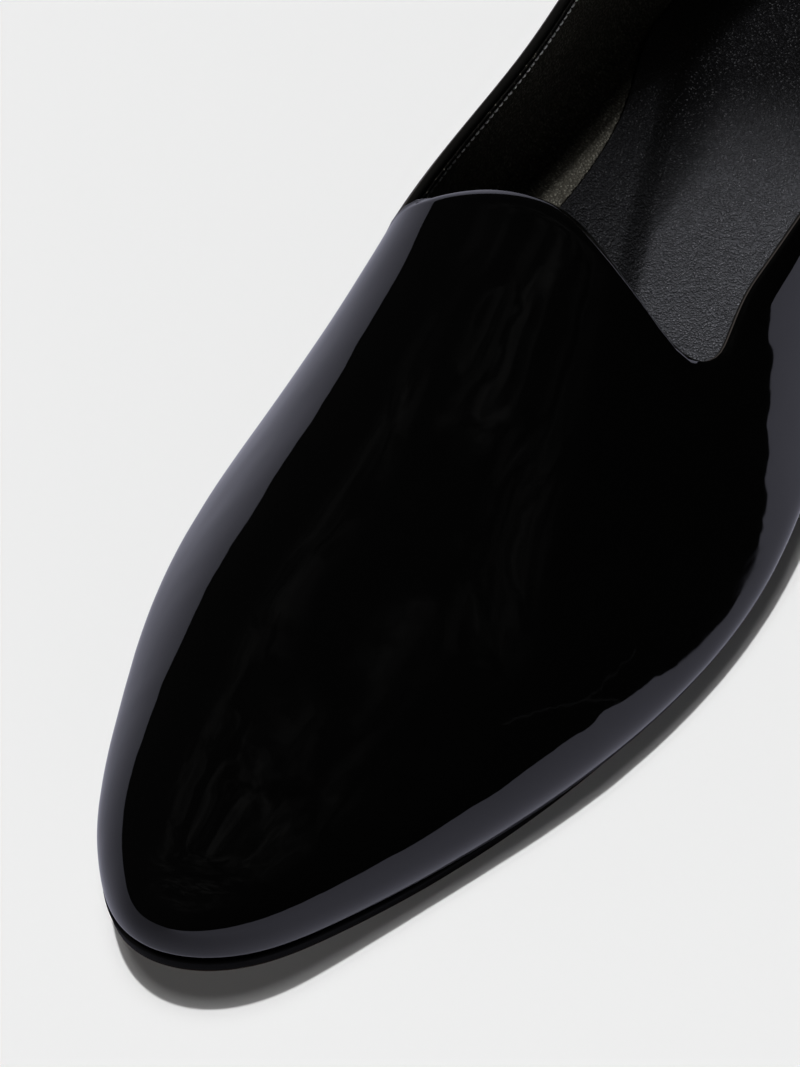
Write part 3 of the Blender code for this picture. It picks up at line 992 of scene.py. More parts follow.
@dataclass(frozen=True)
class GrainedFinish(Finish):
    """Leather with a visible grain: the lining, the sock and the insole board."""

    cells: float = 1500.0
    grain_depth: float = 0.0002
    grain_strength: float = 0.8
    furrow_colour: tuple[float, float, float] = (0.01, 0.01, 0.01)
    # Pale flecks: specks of the grain on the lining, painted glints on the sock.
    fleck_and_glint_colour: tuple[float, float, float] = (0.05, 0.05, 0.05)
    fleck_and_glint_share: float = 0.5
    # Dark colour, dullness and relief at a high edge share: on the sock painted shade and shadow over
    # some scuffing, on the lining the dark strip above the stitches.
    darkening_colour: tuple[float, float, float] = (0.01, 0.01, 0.01)
    darkening_dullness: float = 0.0
    darkening_relief: float = 0.0
    colour_span: tuple[float, float] = (0.3, 1.2)
    gloss_span: tuple[float, float] = (0.2, 1.4)
    furrow_dullness: float = 0.14
    pebble_gloss: float = 0.06

    def build(self, effects: SharedEffects) -> bpy.types.Material:
        """Material with grain in its relief, its colour and its gloss, darker, duller and deeper where
        the edge share is high.

        On the sock the edge share paints shade in the crease, a shadow beside it and shade over the
        medial strip, where there is some real scuffing too; on the lining it darkens the strip above the
        stitches.

        Args:
            effects: the shared groups.

        Returns:
            The material.
        """
        material, bench, shader, spot = self.start()
        grain = self.effect(bench, effects.grain, spot, Cells=self.cells)
        # Flecks: grain specks on the lining, painted glints on the sock.
        fleck_and_glint = bench.math("MULTIPLY", grain.outputs["FleckAndGlint"], self.fleck_and_glint_share)
        pebble = bench.remap(grain.outputs["Height"], self.colour_span, (0.0, 1.0))
        skin = bench.blend(pebble, self.furrow_colour, self.colour)
        # Painted shade on the sock: the edge share blends the colour towards a dark one.
        darkening = bench.add("Attribute", attribute_name=PointValue.EDGE_SHARE.value).outputs["Fac"]
        bench.link(bench.blend(fleck_and_glint, bench.blend(darkening, skin, self.darkening_colour), self.fleck_and_glint_colour),
                   shader.inputs["Base Color"])
        dull = bench.remap(grain.outputs["Height"], self.gloss_span,
                           (self.roughness + self.furrow_dullness, self.roughness - self.pebble_gloss))
        bench.link(bench.math("ADD", dull, bench.math("MULTIPLY", darkening, self.darkening_dullness)),
                   shader.inputs["Roughness"])
        deeper = bench.remap(darkening, (0.0, 1.0), (1.0, 1.0 + self.darkening_relief))
        height = bench.math("MULTIPLY", grain.outputs["Height"], deeper)
        self.bump(bench, shader, height, self.grain_depth, self.grain_strength)
        return material


@dataclass(frozen=True)
class SoleFinish(Finish):
    """Outsole leather: black dressed edge, a thin brown line where it is cut, dark underside."""

    cut_colour: tuple[float, float, float] = (0.045, 0.022, 0.010)
    under_colour: tuple[float, float, float] = (0.030, 0.020, 0.014)
    cut_from: float = 0.80
    cut_to: float = 0.93
    under_span: tuple[float, float] = (1.0, 1.3)
    cells: float = 900.0
    grain_depth: float = 0.00004
    grain_strength: float = 0.35
    rub_scale: float = 110.0
    rubbed_dullness: float = 0.2

    def build(self, effects: SharedEffects) -> bpy.types.Material:
        """Material led by the edge share: 0 on top, 1 at the lower corner, 2 on the underside.

        Args:
            effects: the shared groups.

        Returns:
            The material.
        """
        material, bench, shader, spot = self.start()
        share = bench.add("Attribute", attribute_name=PointValue.EDGE_SHARE.value).outputs["Fac"]
        grain = self.effect(bench, effects.grain, spot, Cells=self.cells)
        rubs = self.effect(bench, effects.rubs, spot, Scale=self.rub_scale).outputs["Mark"]
        cut = bench.remap(share, (self.cut_from, self.cut_to), (0.0, 1.0))
        edge = bench.blend(cut, self.colour, self.cut_colour)
        under = bench.remap(share, self.under_span, (0.0, 1.0))
        bench.link(bench.blend(under, edge, self.under_colour), shader.inputs["Base Color"])
        dullest = self.roughness + self.rubbed_dullness
        bench.link(bench.remap(rubs, (0.0, 1.0), (self.roughness, dullest)), shader.inputs["Roughness"])
        self.bump(bench, shader, grain.outputs["Height"], self.grain_depth, self.grain_strength)
        return material


@dataclass(frozen=True)
class RubberFinish(Finish):
    """Black rubber of the heel, with a fine moulded speckle."""

    speck: float = 2200.0
    speck_depth: float = 0.00003
    speck_strength: float = 0.4
    rub_scale: float = 90.0
    rubbed_dullness: float = 0.18

    def build(self, effects: SharedEffects) -> bpy.types.Material:
        """Material with a fine moulded speckle and rub marks.

        Args:
            effects: the shared groups.

        Returns:
            The material.
        """
        material, bench, shader, spot = self.start()
        rubs = self.effect(bench, effects.rubs, spot, Scale=self.rub_scale).outputs["Mark"]
        dullest = self.roughness + self.rubbed_dullness
        bench.link(bench.remap(rubs, (0.0, 1.0), (self.roughness, dullest)), shader.inputs["Roughness"])
        speck = bench.noise(spot, self.speck, Detail=2.0)
        self.bump(bench, shader, speck.outputs["Fac"], self.speck_depth, self.speck_strength)
        return material


@dataclass(frozen=True)
class ThreadFinish(Finish):
    """Pale waxed thread with a twist."""

    twist: float = 2600.0
    twist_depth: float = 0.00003
    twist_strength: float = 0.5
    gloss_span: tuple[float, float] = (0.2, 1.4)
    gloss_change: float = 0.1

    def build(self, effects: SharedEffects) -> bpy.types.Material:
        """Material with a fine twist in its relief and its gloss.

        Args:
            effects: the shared groups.

        Returns:
            The material.
        """
        material, bench, shader, spot = self.start()
        grain = self.effect(bench, effects.grain, spot, Cells=self.twist)
        dull = bench.remap(grain.outputs["Height"], self.gloss_span,
                           (self.roughness + self.gloss_change, self.roughness - self.gloss_change))
        bench.link(dull, shader.inputs["Roughness"])
        self.bump(bench, shader, grain.outputs["Height"], self.twist_depth, self.twist_strength)
        return material


def quad_rows(rows: int, count: int, wrap: bool) -> np.ndarray:
    """Quads between neighbouring closed loops of equal length.

    Args:
        rows: number of loops.
        count: points of each loop.
        wrap: whether the last loop joins the first.

    Returns:
        Vertex indices, four for each quad.
    """
    low = np.arange(rows if wrap else rows - 1)[:, None] * count
    high = (low + count) % (rows * count)
    here = np.arange(count)[None, :]
    after = (here + 1) % count
    return np.stack([low + here, high + here, high + after, low + after], axis=-1).reshape(-1, 4)


def cap_strips(start: int, count: int) -> list[tuple[int, ...]]:
    """Strips across a loop that is the same on both sides of its first point.

    Args:
        start: index of the loop's first point.
        count: points of the loop.

    Returns:
        Vertex indices of each face.
    """
    inner = np.arange(1, (count + 1) // 2 - 1)
    low, high = start + inner, start + count - inner
    strips = np.stack([low, low + 1, high - 1, high], axis=-1).tolist()
    ends = [(start, start + 1, start + count - 1)]
    if count % 2 == 0:
        middle = start + count // 2
        ends.append((middle - 1, middle, middle + 1))
    return [*map(tuple, strips), *ends]


class Workshop:
    """Turns arrays into pieces of the shoe and hands them to the frame."""

    def __init__(self, last: Last) -> None:
        """Take the last, which knows where the frame's origin is."""
        self.last = last
        self.made: list[bpy.types.Object] = []

    def piece(self, name: str, points: np.ndarray, faces: Sequence[Sequence[int]],
              material: bpy.types.Material, slot: str, replaces: str | None = None,
              shares: np.ndarray | None = None) -> bpy.types.Object:
        """Make one piece from points in mm.

        Args:
            name: the piece's name.
            points: points, with x, t and z on the last axis.
            faces: vertex indices of each face.
            material: the finish.
            slot: not used.
            replaces: the solid that the piece stands for.
            shares: value of the edge share at each point.

        Returns:
            The new object, riding on the shoe.
        """
        mesh = bpy.data.meshes.new(name)
        mesh.from_pydata(self.last.in_frame(points.reshape(-1, 3)).tolist(), [], faces)
        if shares is not None:
            layer = mesh.attributes.new(PointValue.EDGE_SHARE.value, "FLOAT", "POINT")
            layer.data.foreach_set("value", shares.astype(np.float32).ravel())
        mesh.shade_smooth()
        mesh.materials.append(material)
        made = bpy.data.objects.new(name, mesh)
        bpy.context.scene.collection.objects.link(made)
        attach(made, "root")
        if replaces:
            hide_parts(replaces)
        self.made.append(made)
        LOG.info("%s: %d faces", name, len(faces))
        return made

    def tube(self, name: str, loops: np.ndarray, material: bpy.types.Material, slot: str,
             replaces: str | None = None, shares: np.ndarray | None = None) -> bpy.types.Object:
        """Piece from loops that close both ways, such as a shell with an outer and an inner wall."""
        faces = quad_rows(*loops.shape[:2], wrap=True).tolist()
        return self.piece(name, loops, faces, material, slot, replaces, shares)

    def slab(self, name: str, loops: np.ndarray, material: bpy.types.Material, slot: str,
             replaces: str | None = None, shares: np.ndarray | None = None) -> bpy.types.Object:
        """Piece from a stack of loops, top first, closed by strips across both ends.

        Args:
            name: the piece's name.
            loops: loops of points in mm.
            material: the finish.
            slot: not used.
            replaces: the solid that the piece stands for.
            shares: value of the edge share at each point.

        Returns:
            The new object.
        """
        rows, count = loops.shape[:2]
        faces = [face[::-1] for face in quad_rows(rows, count, wrap=False).tolist()]
        faces += [face[::-1] for face in cap_strips(0, count)]
        faces += cap_strips((rows - 1) * count, count)
        return self.piece(name, loops, faces, material, slot, replaces, shares)


@dataclass
class Footbed:
    """Surface that the foot stands on: the insole's run, raised along the medial arch."""

    last: Last
    over_board: float = 2.56
    thickness: float = 1.0
    arch_height: float = 2.8
    arch_tilt: float = 0.30
    arch_x: float = -3.2
    arch_at: float = 171.5
    arch_skew: float = -0.245
    arch_slope: float = 5.5
    arch_start: float = 120.0
    arch_full: float = 165.0
    arch_fade: float = 205.0
    arch_end: float = 245.0
    # Painted shade on the sock: some over the medial strip, where there is also scuffing, most in the
    # crease, and a painted shadow of the medial wall beside the crease, its border widening towards the
    # heel.
    strip_scuff_and_shade: float = 0.7
    crease_painted_shade: float = 0.5
    border_painted_shadow: float = 0.85
    border_at: float = 181.0
    border_width: float = 4.5
    border_spread: float = 0.48
    border_run: float = 20.0

    def base(self, t: np.ndarray) -> np.ndarray:
        """Height of the insole board's upper face, with a hair's gap."""
        return self.last.sole_top(t) + self.last.clearance + self.over_board

    def line(self, t: np.ndarray) -> np.ndarray:
        """Slanted line along which the medial strip begins to rise."""
        return self.arch_x + self.arch_skew * (t - self.arch_at)

    def medial_share(self, x: np.ndarray, t: np.ndarray) -> np.ndarray:
        """Share of the medial strip: a soft step across the line, fading out along the foot."""
        inward = smooth_step((self.line(t) + self.arch_slope / 2 - x) / self.arch_slope)
        return inward * plateau(t, self.arch_start, self.arch_full, self.arch_fade, self.arch_end)

    def scuff_and_painted_shade(self, x: np.ndarray, t: np.ndarray) -> np.ndarray:
        """Share that darkens the sock: painted shade with some scuffing over the medial strip, most
        painted shade in the crease, and a painted shadow fading out beside it.

        The painted shadow beside the crease widens for a while towards the heel and fades as a soft
        step.

        Args:
            x: distances from the middle line in mm.
            t: distances from the toe in mm.

        Returns:
            Shares from 0 to 1.
        """
        share = self.medial_share(x, t)
        width = self.border_width + self.border_spread * np.clip(t - self.border_at, 0, self.border_run)
        along = smooth_step((t - self.arch_start) / (self.arch_full - self.arch_start))
        border = along * (1 - smooth_step((x - self.line(t)) / width))
        # Painted shade in the crease and over the medial strip, plus the painted shadow beside the
        # crease.
        crease = self.strip_scuff_and_shade * share + self.crease_painted_shade * 4 * share * (1 - share)
        return np.clip(crease + self.border_painted_shadow * border * (1 - share), 0, 1)

    def arch(self, x: np.ndarray, t: np.ndarray) -> np.ndarray:
        """Rise over the medial arch: the strip's share of a step and of a slope across."""
        tilt = self.arch_tilt * np.clip(self.line(t) - x, 0, None)
        return (self.arch_height + tilt) * self.medial_share(x, t)

    def top(self, x: np.ndarray, t: np.ndarray) -> np.ndarray:
        """Height of the footbed."""
        return self.base(t) + self.thickness + self.arch(x, t)


@dataclass
class Upper:
    """Gloss upper with its folded topline, the lining inside it and the lining's stitch row."""

    last: Last
    topline: Topline
    footbed: Footbed
    pull: LeatherPull = field(default_factory=LeatherPull)
    around: int = 480
    wall: float = 1.8
    low_rows: int = 26
    low_top: float = 14.0
    wall_rows: int = 84
    rim_rows: int = 16
    rim_reach: float = 4.0
    tongue_drop: float = 2.4
    medial_drop: float = -0.15
    lateral_drop: float = 0.7
    dip_keep: float = 0.05
    tongue_middle: float = -7.0
    tongue_half: float = 19.0
    tongue_fade: float = 7.0
    side_start: float = -5.0
    side_span: float = 15.0
    tongue_end: float = 142.0
    quarter_full: float = 170.0
    rim_arc_rows: int = 12
    calm_height: float = 6.0
    calm_margin: float = 1.0
    calm_run: float = 8.0
    inside_low: tuple[float, ...] = (0.4, 3.0, 8.0)
    inside_rows: int = 10
    inside_fold: tuple[float, ...] = (6.0, 4.5, 3.0, 2.0, 1.0, 0.0)
    tuck: float = 2.5
    undercut: float = 1.0
    undercut_height: float = 1.8
    lining_thickness: float = 0.45
    lining_gap: float = 0.05
    lining_edge: float = 0.35
    lining_rows: int = 54
    lining_brow: float = 0.2
    lining_back_rows: int = 12
    lining_foot: float = 2.55
    lining_foot_rows: int = 16
    lining_foot_power: float = 1.3
    lining_foot_span: float = 10.0
    strip_over: float = 0.1
    strip_fade: float = 0.3
    sock_over_lining: float = 0.7
    fillet: float = 0.4
    medial_fillet: float = 5.4
    fillet_rise: float = 13.0
    fillet_power: float = 2.2
    waist_start: float = 120.0
    waist_full: float = 150.0
    waist_fade: float = 190.0
    waist_end: float = 240.0
    stitch_below: float = 1.15
    stitch_pitch: float = 1.5
    stitch_length: float = 1.44
    stitch_radius: float = 0.19
    stitch_rings: int = 7
    stitch_sides: int = 8
    stitch_bow: float = 0.75
    heading_step: float = 0.4

    def __post_init__(self) -> None:
        """Lay the fan of lines that all pieces share, and the drop of the rim on each line."""
        self.shell = Shell(self.last, self.topline, self.around)
        edge = self.last.fan_point(self.shell.angle, self.shell.top)
        behind = smooth_step((edge[:, 1] - self.tongue_end) / (self.quarter_full - self.tongue_end))
        from_middle = np.abs(edge[:, 0] - self.tongue_middle)
        aside = smooth_step((from_middle - self.tongue_half) / self.tongue_fade)
        lateral = smooth_step((edge[:, 0] - self.side_start) / self.side_span)
        quarter = self.medial_drop + (self.lateral_drop - self.medial_drop) * lateral
        tongue = (1 - behind) * (1 - aside * (1 - self.dip_keep * lateral))
        self.drop = quarter + (self.tongue_drop - quarter) * tongue

    def layer(self, lift: np.ndarray, depth: float) -> tuple[np.ndarray, np.ndarray, np.ndarray]:
        """Rows of the wall at a depth under its outer face, with the rim's curl.

        Near the topline the outer face sinks by the drop times the square of the closeness to
        the edge, and the wall's own normal leans over by the slope of that sink.

        Args:
            lift: rows of lifts.
            depth: depth in mm under the outer face.

        Returns:
            Points, leaning normals and leaning upward tangents.
        """
        point, normal, upward = self.shell.surface(lift)
        close = np.clip(1 - (self.shell.top - lift) * self.shell.speed / self.rim_reach, 0, 1)
        lean = np.arctan(2 * self.drop * close / self.rim_reach)[..., None]
        over = normal * np.cos(lean) + upward * np.sin(lean)
        along = upward * np.cos(lean) - normal * np.sin(lean)
        return point - normal * (self.drop * close**2)[..., None] - over * depth, over, along

    def outer_lifts(self) -> np.ndarray:
        """Lifts of the outside's rows: dense over the swell and at the rim, even between.

        Returns:
            Rows of lifts, lowest first.
        """
        low = self.shell.at_heights(np.linspace(0, 1, self.low_rows)**1.4 * self.low_top)
        rim = self.shell.below_edge(np.linspace(self.rim_reach, 0, self.rim_rows))
        return np.concatenate([low, Shell.between(low[-1], rim[0], self.wall_rows), rim])

    def outside(self) -> np.ndarray:
        """Rows of the outside up to the rim: the wall's outer face plus the leather's pull.

        Close over the sole the face turns under, by the square of the closeness to the feather line.

        Returns:
            Rows of points in mm.
        """
        lift = self.outer_lifts()
        point, over, _ = self.layer(lift, 0.0)
        height = point[..., 2] - self.last.sole_top(point[..., 1])
        below = (self.shell.top - lift) * self.shell.speed
        calm = smooth_step(height / self.calm_height)
        calm = calm * smooth_step((below - self.calm_margin) / self.calm_run)
        under = self.undercut * np.clip(1 - height / self.undercut_height, 0, 1)**2
        level = unit(over * np.array([1.0, 1.0, 0.0]))
        return point + over * (self.pull.relief(point) * calm)[..., None] - level * under[..., None]

    def rim_arc(self) -> np.ndarray:
        """Rows over the rim: half a circle from the outer to the inner face of the wall.

        Returns:
            Rows of points in mm, without both ends of the half circle.
        """
        point, over, along = self.layer(self.shell.top[None, :], self.wall / 2)
        turn = np.linspace(0, np.pi, self.rim_arc_rows)[1:-1, None, None]
        return point + (over * np.cos(turn) + along * np.sin(turn)) * self.wall / 2

    def leather_loops(self) -> tuple[np.ndarray, np.ndarray]:
        """Closed section of the upper's leather: outside, rim, inside and the tuck underneath.

        Returns:
            Loops in mm, and each point's edge share: 0 outside, 1 inside, between them over the rim.
        """
        low = self.shell.at_heights(np.array(self.inside_low))
        fold = self.shell.below_edge(np.array(self.inside_fold))
        lift = np.concatenate([low, Shell.between(low[-1], fold[0], self.inside_rows), fold])[::-1]
        inside = self.layer(lift, self.wall)[0]
        under = [self.last.plan_loop(
            self.shell.ring, lambda t, side, inset=inset: np.full_like(t, inset),
            lambda t: self.last.sole_top(t) + self.last.clearance / 2)
            for inset in (self.tuck, self.undercut)]
        outside, arc = self.outside(), self.rim_arc()
        over = np.linspace(0, 1, self.rim_arc_rows)[1:-1]
        share = np.concatenate([np.zeros(len(outside)), over, np.ones(len(inside) + len(under))])
        loops = np.concatenate([outside, arc, inside, np.stack(under)])
        return loops, np.broadcast_to(share[:, None], loops.shape[:2])

    def fillet_inset(self, t: np.ndarray, side: np.ndarray) -> np.ndarray:
        """How far the lining runs in over the insole: more along the medial waist.

        Args:
            t: distances from the toe in mm.
            side: sign of the side's x.

        Returns:
            Insets in mm.
        """
        waist = plateau(t, self.waist_start, self.waist_full, self.waist_fade, self.waist_end)
        medial = (1 - side) / 2
        return self.fillet + (self.medial_fillet - self.fillet) * waist * medial

    def lining_depth(self) -> float:
        """Depth of the lining's seen face under the leather's outer face."""
        return self.wall + self.lining_gap + self.lining_thickness

    def foot_loop(self, inset: float) -> np.ndarray:
        """Loop where the lining meets the sock.

        Args:
            inset: extra inset in mm.

        Returns:
            Points in mm.
        """
        loop = self.last.plan_loop(self.shell.ring, lambda t, side: self.fillet_inset(t, side) + inset,
                                   self.footbed.base)
        loop[..., 2] = self.footbed.top(loop[..., 0], loop[..., 1]) - self.sock_over_lining
        return loop

    def lining_face(self, lift: np.ndarray, depth: float) -> np.ndarray:
        """Rows of the lining at a depth, with a hollow curve at its foot.

        The rows bend in to the foot loop by a power of how far below the fillet's rise they lie.

        Args:
            lift: rows of lifts.
            depth: depth in mm under the leather's outer face.

        Returns:
            Rows of points in mm.
        """
        face = self.layer(lift, depth)[0]
        foot = self.shell.at_heights(np.array([self.lining_foot]))
        step = self.foot_loop(depth)[None] - self.layer(foot, depth)[0]
        height = self.shell.surface(lift)[0][..., 2] - self.shell.surface(foot)[0][..., 2]
        low = np.clip(1 - height / self.fillet_rise, 0, 1)**self.fillet_power
        return face + step * low[..., None]

    def lining_loops(self) -> tuple[np.ndarray, np.ndarray]:
        """Closed section of the lining: back, rounded upper edge, seen face and foot.

        Returns:
            Loops in mm, and each point's edge share: 1 over the stitches and 0 below them.
        """
        rising = np.linspace(0, 1, self.lining_foot_rows)**self.lining_foot_power
        foot = self.shell.at_heights(self.lining_foot + rising * self.lining_foot_span)
        edge = self.shell.below_edge(np.array([self.lining_edge]))
        lift = np.concatenate([foot, Shell.between(foot[-1], edge[0], self.lining_rows), edge])
        seen = self.lining_face(lift, self.lining_depth())
        brow = self.shell.below_edge(np.array([self.lining_edge - self.lining_brow]))
        brow_face = self.lining_face(brow, self.lining_depth() - self.lining_thickness / 2)
        between = Shell.between(edge[0], foot[0], self.lining_back_rows)
        back_lift = np.concatenate([edge, between, foot[:1]])
        back = self.lining_face(back_lift, self.wall + self.lining_gap)
        lifts = np.concatenate([lift, brow, back_lift])
        below = (self.shell.top - lifts) * self.shell.speed
        share = 1 - smooth_step((below - self.stitch_below + self.strip_over) / self.strip_fade)
        return np.concatenate([seen, brow_face, back])[::-1], share[::-1]

    def stitch_path(self) -> tuple[np.ndarray, np.ndarray, np.ndarray]:
        """Run of the stitches, evenly spaced along the lining's edge.

        Returns:
            Centres in mm, headings and face normals.
        """
        lift = self.shell.below_edge(np.array([self.stitch_below]))
        path, over, _ = self.layer(lift, self.lining_depth())
        closed = np.concatenate([path[0], path[0][:1]])
        facing = -np.concatenate([over[0], over[0][:1]])
        along = np.concatenate([[0.0], np.cumsum(np.linalg.norm(np.diff(closed, axis=0), axis=1))])
        count = round(along[-1] / self.stitch_pitch)
        spots = (np.arange(count) + 0.5) / count * along[-1]

        def read(values: np.ndarray, at: np.ndarray) -> np.ndarray:
            """Values read along the path."""
            return np.stack([np.interp(at, along, values[:, axis]) for axis in range(3)], axis=-1)

        ahead = read(closed, np.clip(spots + self.heading_step, 0, along[-1]))
        behind = read(closed, np.clip(spots - self.heading_step, 0, along[-1]))
        return read(closed, spots), unit(ahead - behind), unit(read(facing, spots))

    def stitch_mesh(self) -> tuple[np.ndarray, list[list[int]]]:
        """Stitches as short threads that bow out of the lining and dive in at both ends.

        Along a stitch, its radius is the thread's times the root of one less the fourth power of
        the share along it, and its height falls with the square of that share.

        Returns:
            Points in mm and faces.
        """
        centre, heading, facing = self.stitch_path()
        across = np.cross(heading, facing)
        share = np.linspace(-1, 1, self.stitch_rings + 2)[1:-1]
        sides = self.stitch_sides
        turn = ring_angles(sides)
        radius = self.stitch_radius * np.sqrt(1 - share**4)
        height = self.stitch_radius * self.stitch_bow * (1 - 2 * share**2)
        run = share * self.stitch_length / 2
        out = height[:, None] + radius[:, None] * np.sin(turn)
        wide = radius[:, None] * np.cos(turn)
        rings = (centre[:, None, None] + heading[:, None, None] * run[None, :, None, None]
                 + facing[:, None, None] * out[None, ..., None]
                 + across[:, None, None] * wide[None, ..., None])
        reach = heading * self.stitch_length / 2
        dive = facing * self.stitch_radius * self.stitch_bow
        body = rings.reshape(len(centre), -1, 3)
        tips = np.stack([centre - reach - dive, centre + reach - dive], axis=1)
        points = np.concatenate([body, tips], axis=1)
        size = points.shape[1]
        here = np.arange(sides)
        after = (here + 1) % sides
        first = np.stack([after, np.full(sides, size - 2), here], axis=-1)
        last_ring = (self.stitch_rings - 1) * sides
        final = np.stack([last_ring + here, np.full(sides, size - 1), last_ring + after], axis=-1)
        start = np.arange(len(centre))[:, None, None] * size
        quads = (quad_rows(self.stitch_rings, sides, wrap=False) + start).reshape(-1, 4).tolist()
        ends = (np.concatenate([first, final]) + start).reshape(-1, 3).tolist()
        return points, quads + ends

    def build(self, shop: Workshop, patent: bpy.types.Material, lining: bpy.types.Material,
              thread: bpy.types.Material) -> bpy.types.Object:
        """Make the leather, the lining and the stitches.

        Args:
            shop: the workshop.
            patent: finish of the leather.
            lining: finish of the lining.
            thread: finish of the stitches.

        Returns:
            The stitches, which shine in the panel's light.
        """
        loops, shares = self.leather_loops()
        shop.tube("upper_leather", loops, patent, "upper", replaces="upper", shares=shares)
        loops, shares = self.lining_loops()
        shop.tube("lining", loops, lining, "insole", shares=shares)
        points, faces = self.stitch_mesh()
        return shop.piece("lining_stitches", points, faces, thread, "upper")


@dataclass
class Bottom:
    """Outsole with its dressed edge, the heel with its lifts, and the insole."""

    last: Last
    around: int = 360
    trim: float = 1.2
    trim_start: float = 20.0
    trim_end: float = 90.0
    edge_taper: float = 0.5
    corner: float = 0.6
    corner_rows: int = 6
    under_inset: float = 2.2
    heel_breast: float = 207.0
    heel_taper: float = 1.0
    heel_stations: int = 90
    lift_line: float = 2.6
    lift_groove: float = 0.25
    groove_rows: Sequence[tuple[float, float]] = ((0.35, 0.0), (0.12, 0.8), (-0.12, 1.0), (-0.35, 0.0))
    seat_inset: float = 0.4
    seat_drop: float = 0.3
    foot_round: float = 0.5
    upper_wall: float = 1.8
    insole_thickness: float = 2.5
    insole_round: float = 0.5

    def trim_at(self, t: np.ndarray) -> np.ndarray:
        """How far the edge lies inside the feather line: flush at the toe, close behind."""
        return self.trim * smooth_step((t - self.trim_start) / (self.trim_end - self.trim_start))

    def edge_profile(self) -> list[tuple[float, float]]:
        """Rows of the outsole's edge, top first, with round corners.

        Returns:
            Inset in mm and share of the thickness for each row.
        """
        turn = np.linspace(np.pi / 2, 0, self.corner_rows)
        inset = self.corner * (1 - np.cos(turn))
        drop = self.corner * (1 - np.sin(turn)) / self.last.sole_thickness
        upper_half = list(zip(inset.tolist(), drop.tolist()))
        lower_half = [(edge + self.edge_taper, 1 - share) for edge, share in reversed(upper_half)]
        return upper_half + lower_half

    def outsole_loops(self) -> tuple[np.ndarray, np.ndarray]:
        """Loops of the outsole from its top to its underside.

        Returns:
            Loops in mm, and each point's edge share.
        """
        ring = ring_angles(self.around)
        loops, shares = [], []
        for inset, share in self.edge_profile():
            loops.append(self.last.plan_loop(
                ring, lambda t, side, inset=inset: self.trim_at(t) + inset,
                lambda t, share=share: self.last.underside(t) + self.last.sole_thickness * (1 - share)))
            shares.append(np.full(self.around, share))
        loops.append(self.last.plan_loop(
            ring, lambda t, side: self.trim_at(t) + self.under_inset, self.last.underside))
        shares.append(np.full(self.around, 2.0))
        return np.stack(loops), np.stack(shares)

    def heel_loops(self) -> np.ndarray:
        """Loops of the heel from its top to the floor: a taper with one groove over the top piece.

        Returns:
            Loops in mm.
        """
        place = np.linspace(np.pi, self.last.place_at(self.heel_breast), self.heel_stations)
        places = np.concatenate([place, place[:0:-1]])
        side = np.concatenate([np.ones(self.heel_stations), -np.ones(self.heel_stations - 1)])
        x, t = self.last.feather_line(places, side)
        normal_x, normal_t = self.last.feather_normal(places, side)
        top = self.last.underside(t) - self.last.clearance
        start = self.trim + self.edge_taper + self.corner / 2
        rows = [(start + self.seat_inset, top), (start, top - self.seat_drop)]
        for over, groove in self.groove_rows:
            level = self.lift_line + over
            share = 1 - level / self.last.heel_height
            rows.append((start + self.heel_taper * share + self.lift_groove * groove,
                         np.full_like(t, level)))
        rows += [(start + self.heel_taper, np.full_like(t, self.foot_round)),
                 (start + self.heel_taper + self.foot_round, np.zeros_like(t))]
        return np.stack([np.stack([x - inset * normal_x, t - inset * normal_t, z], axis=-1)
                         for inset, z in rows])

    def insole_loops(self) -> np.ndarray:
        """Loops of the insole board, top first.

        Returns:
            Loops in mm.
        """
        ring = ring_angles(self.around)
        edge = self.upper_wall + self.last.clearance
        rows = ((edge + self.insole_round, self.insole_thickness),
                (edge, self.insole_thickness - self.insole_round), (edge, 0.0))
        return np.stack([self.last.plan_loop(
            ring, lambda t, side, inset=inset: np.full_like(t, inset),
            lambda t, over=over: self.last.sole_top(t) + self.last.clearance + over)
            for inset, over in rows])

    def build(self, shop: Workshop, sole: bpy.types.Material, rubber: bpy.types.Material,
              board: bpy.types.Material) -> None:
        """Make outsole, heel and insole board.

        Args:
            shop: the workshop.
            sole: finish of the outsole.
            rubber: finish of the heel.
            board: finish of the insole board.
        """
        loops, shares = self.outsole_loops()
        shop.slab("outsole_leather", loops, sole, "outsole", replaces="outsole", shares=shares)
        shop.slab("heel_block", self.heel_loops(), rubber, "heel", replaces="heel")
        shop.slab("insole_board", self.insole_loops(), board, "insole", replaces="insole")


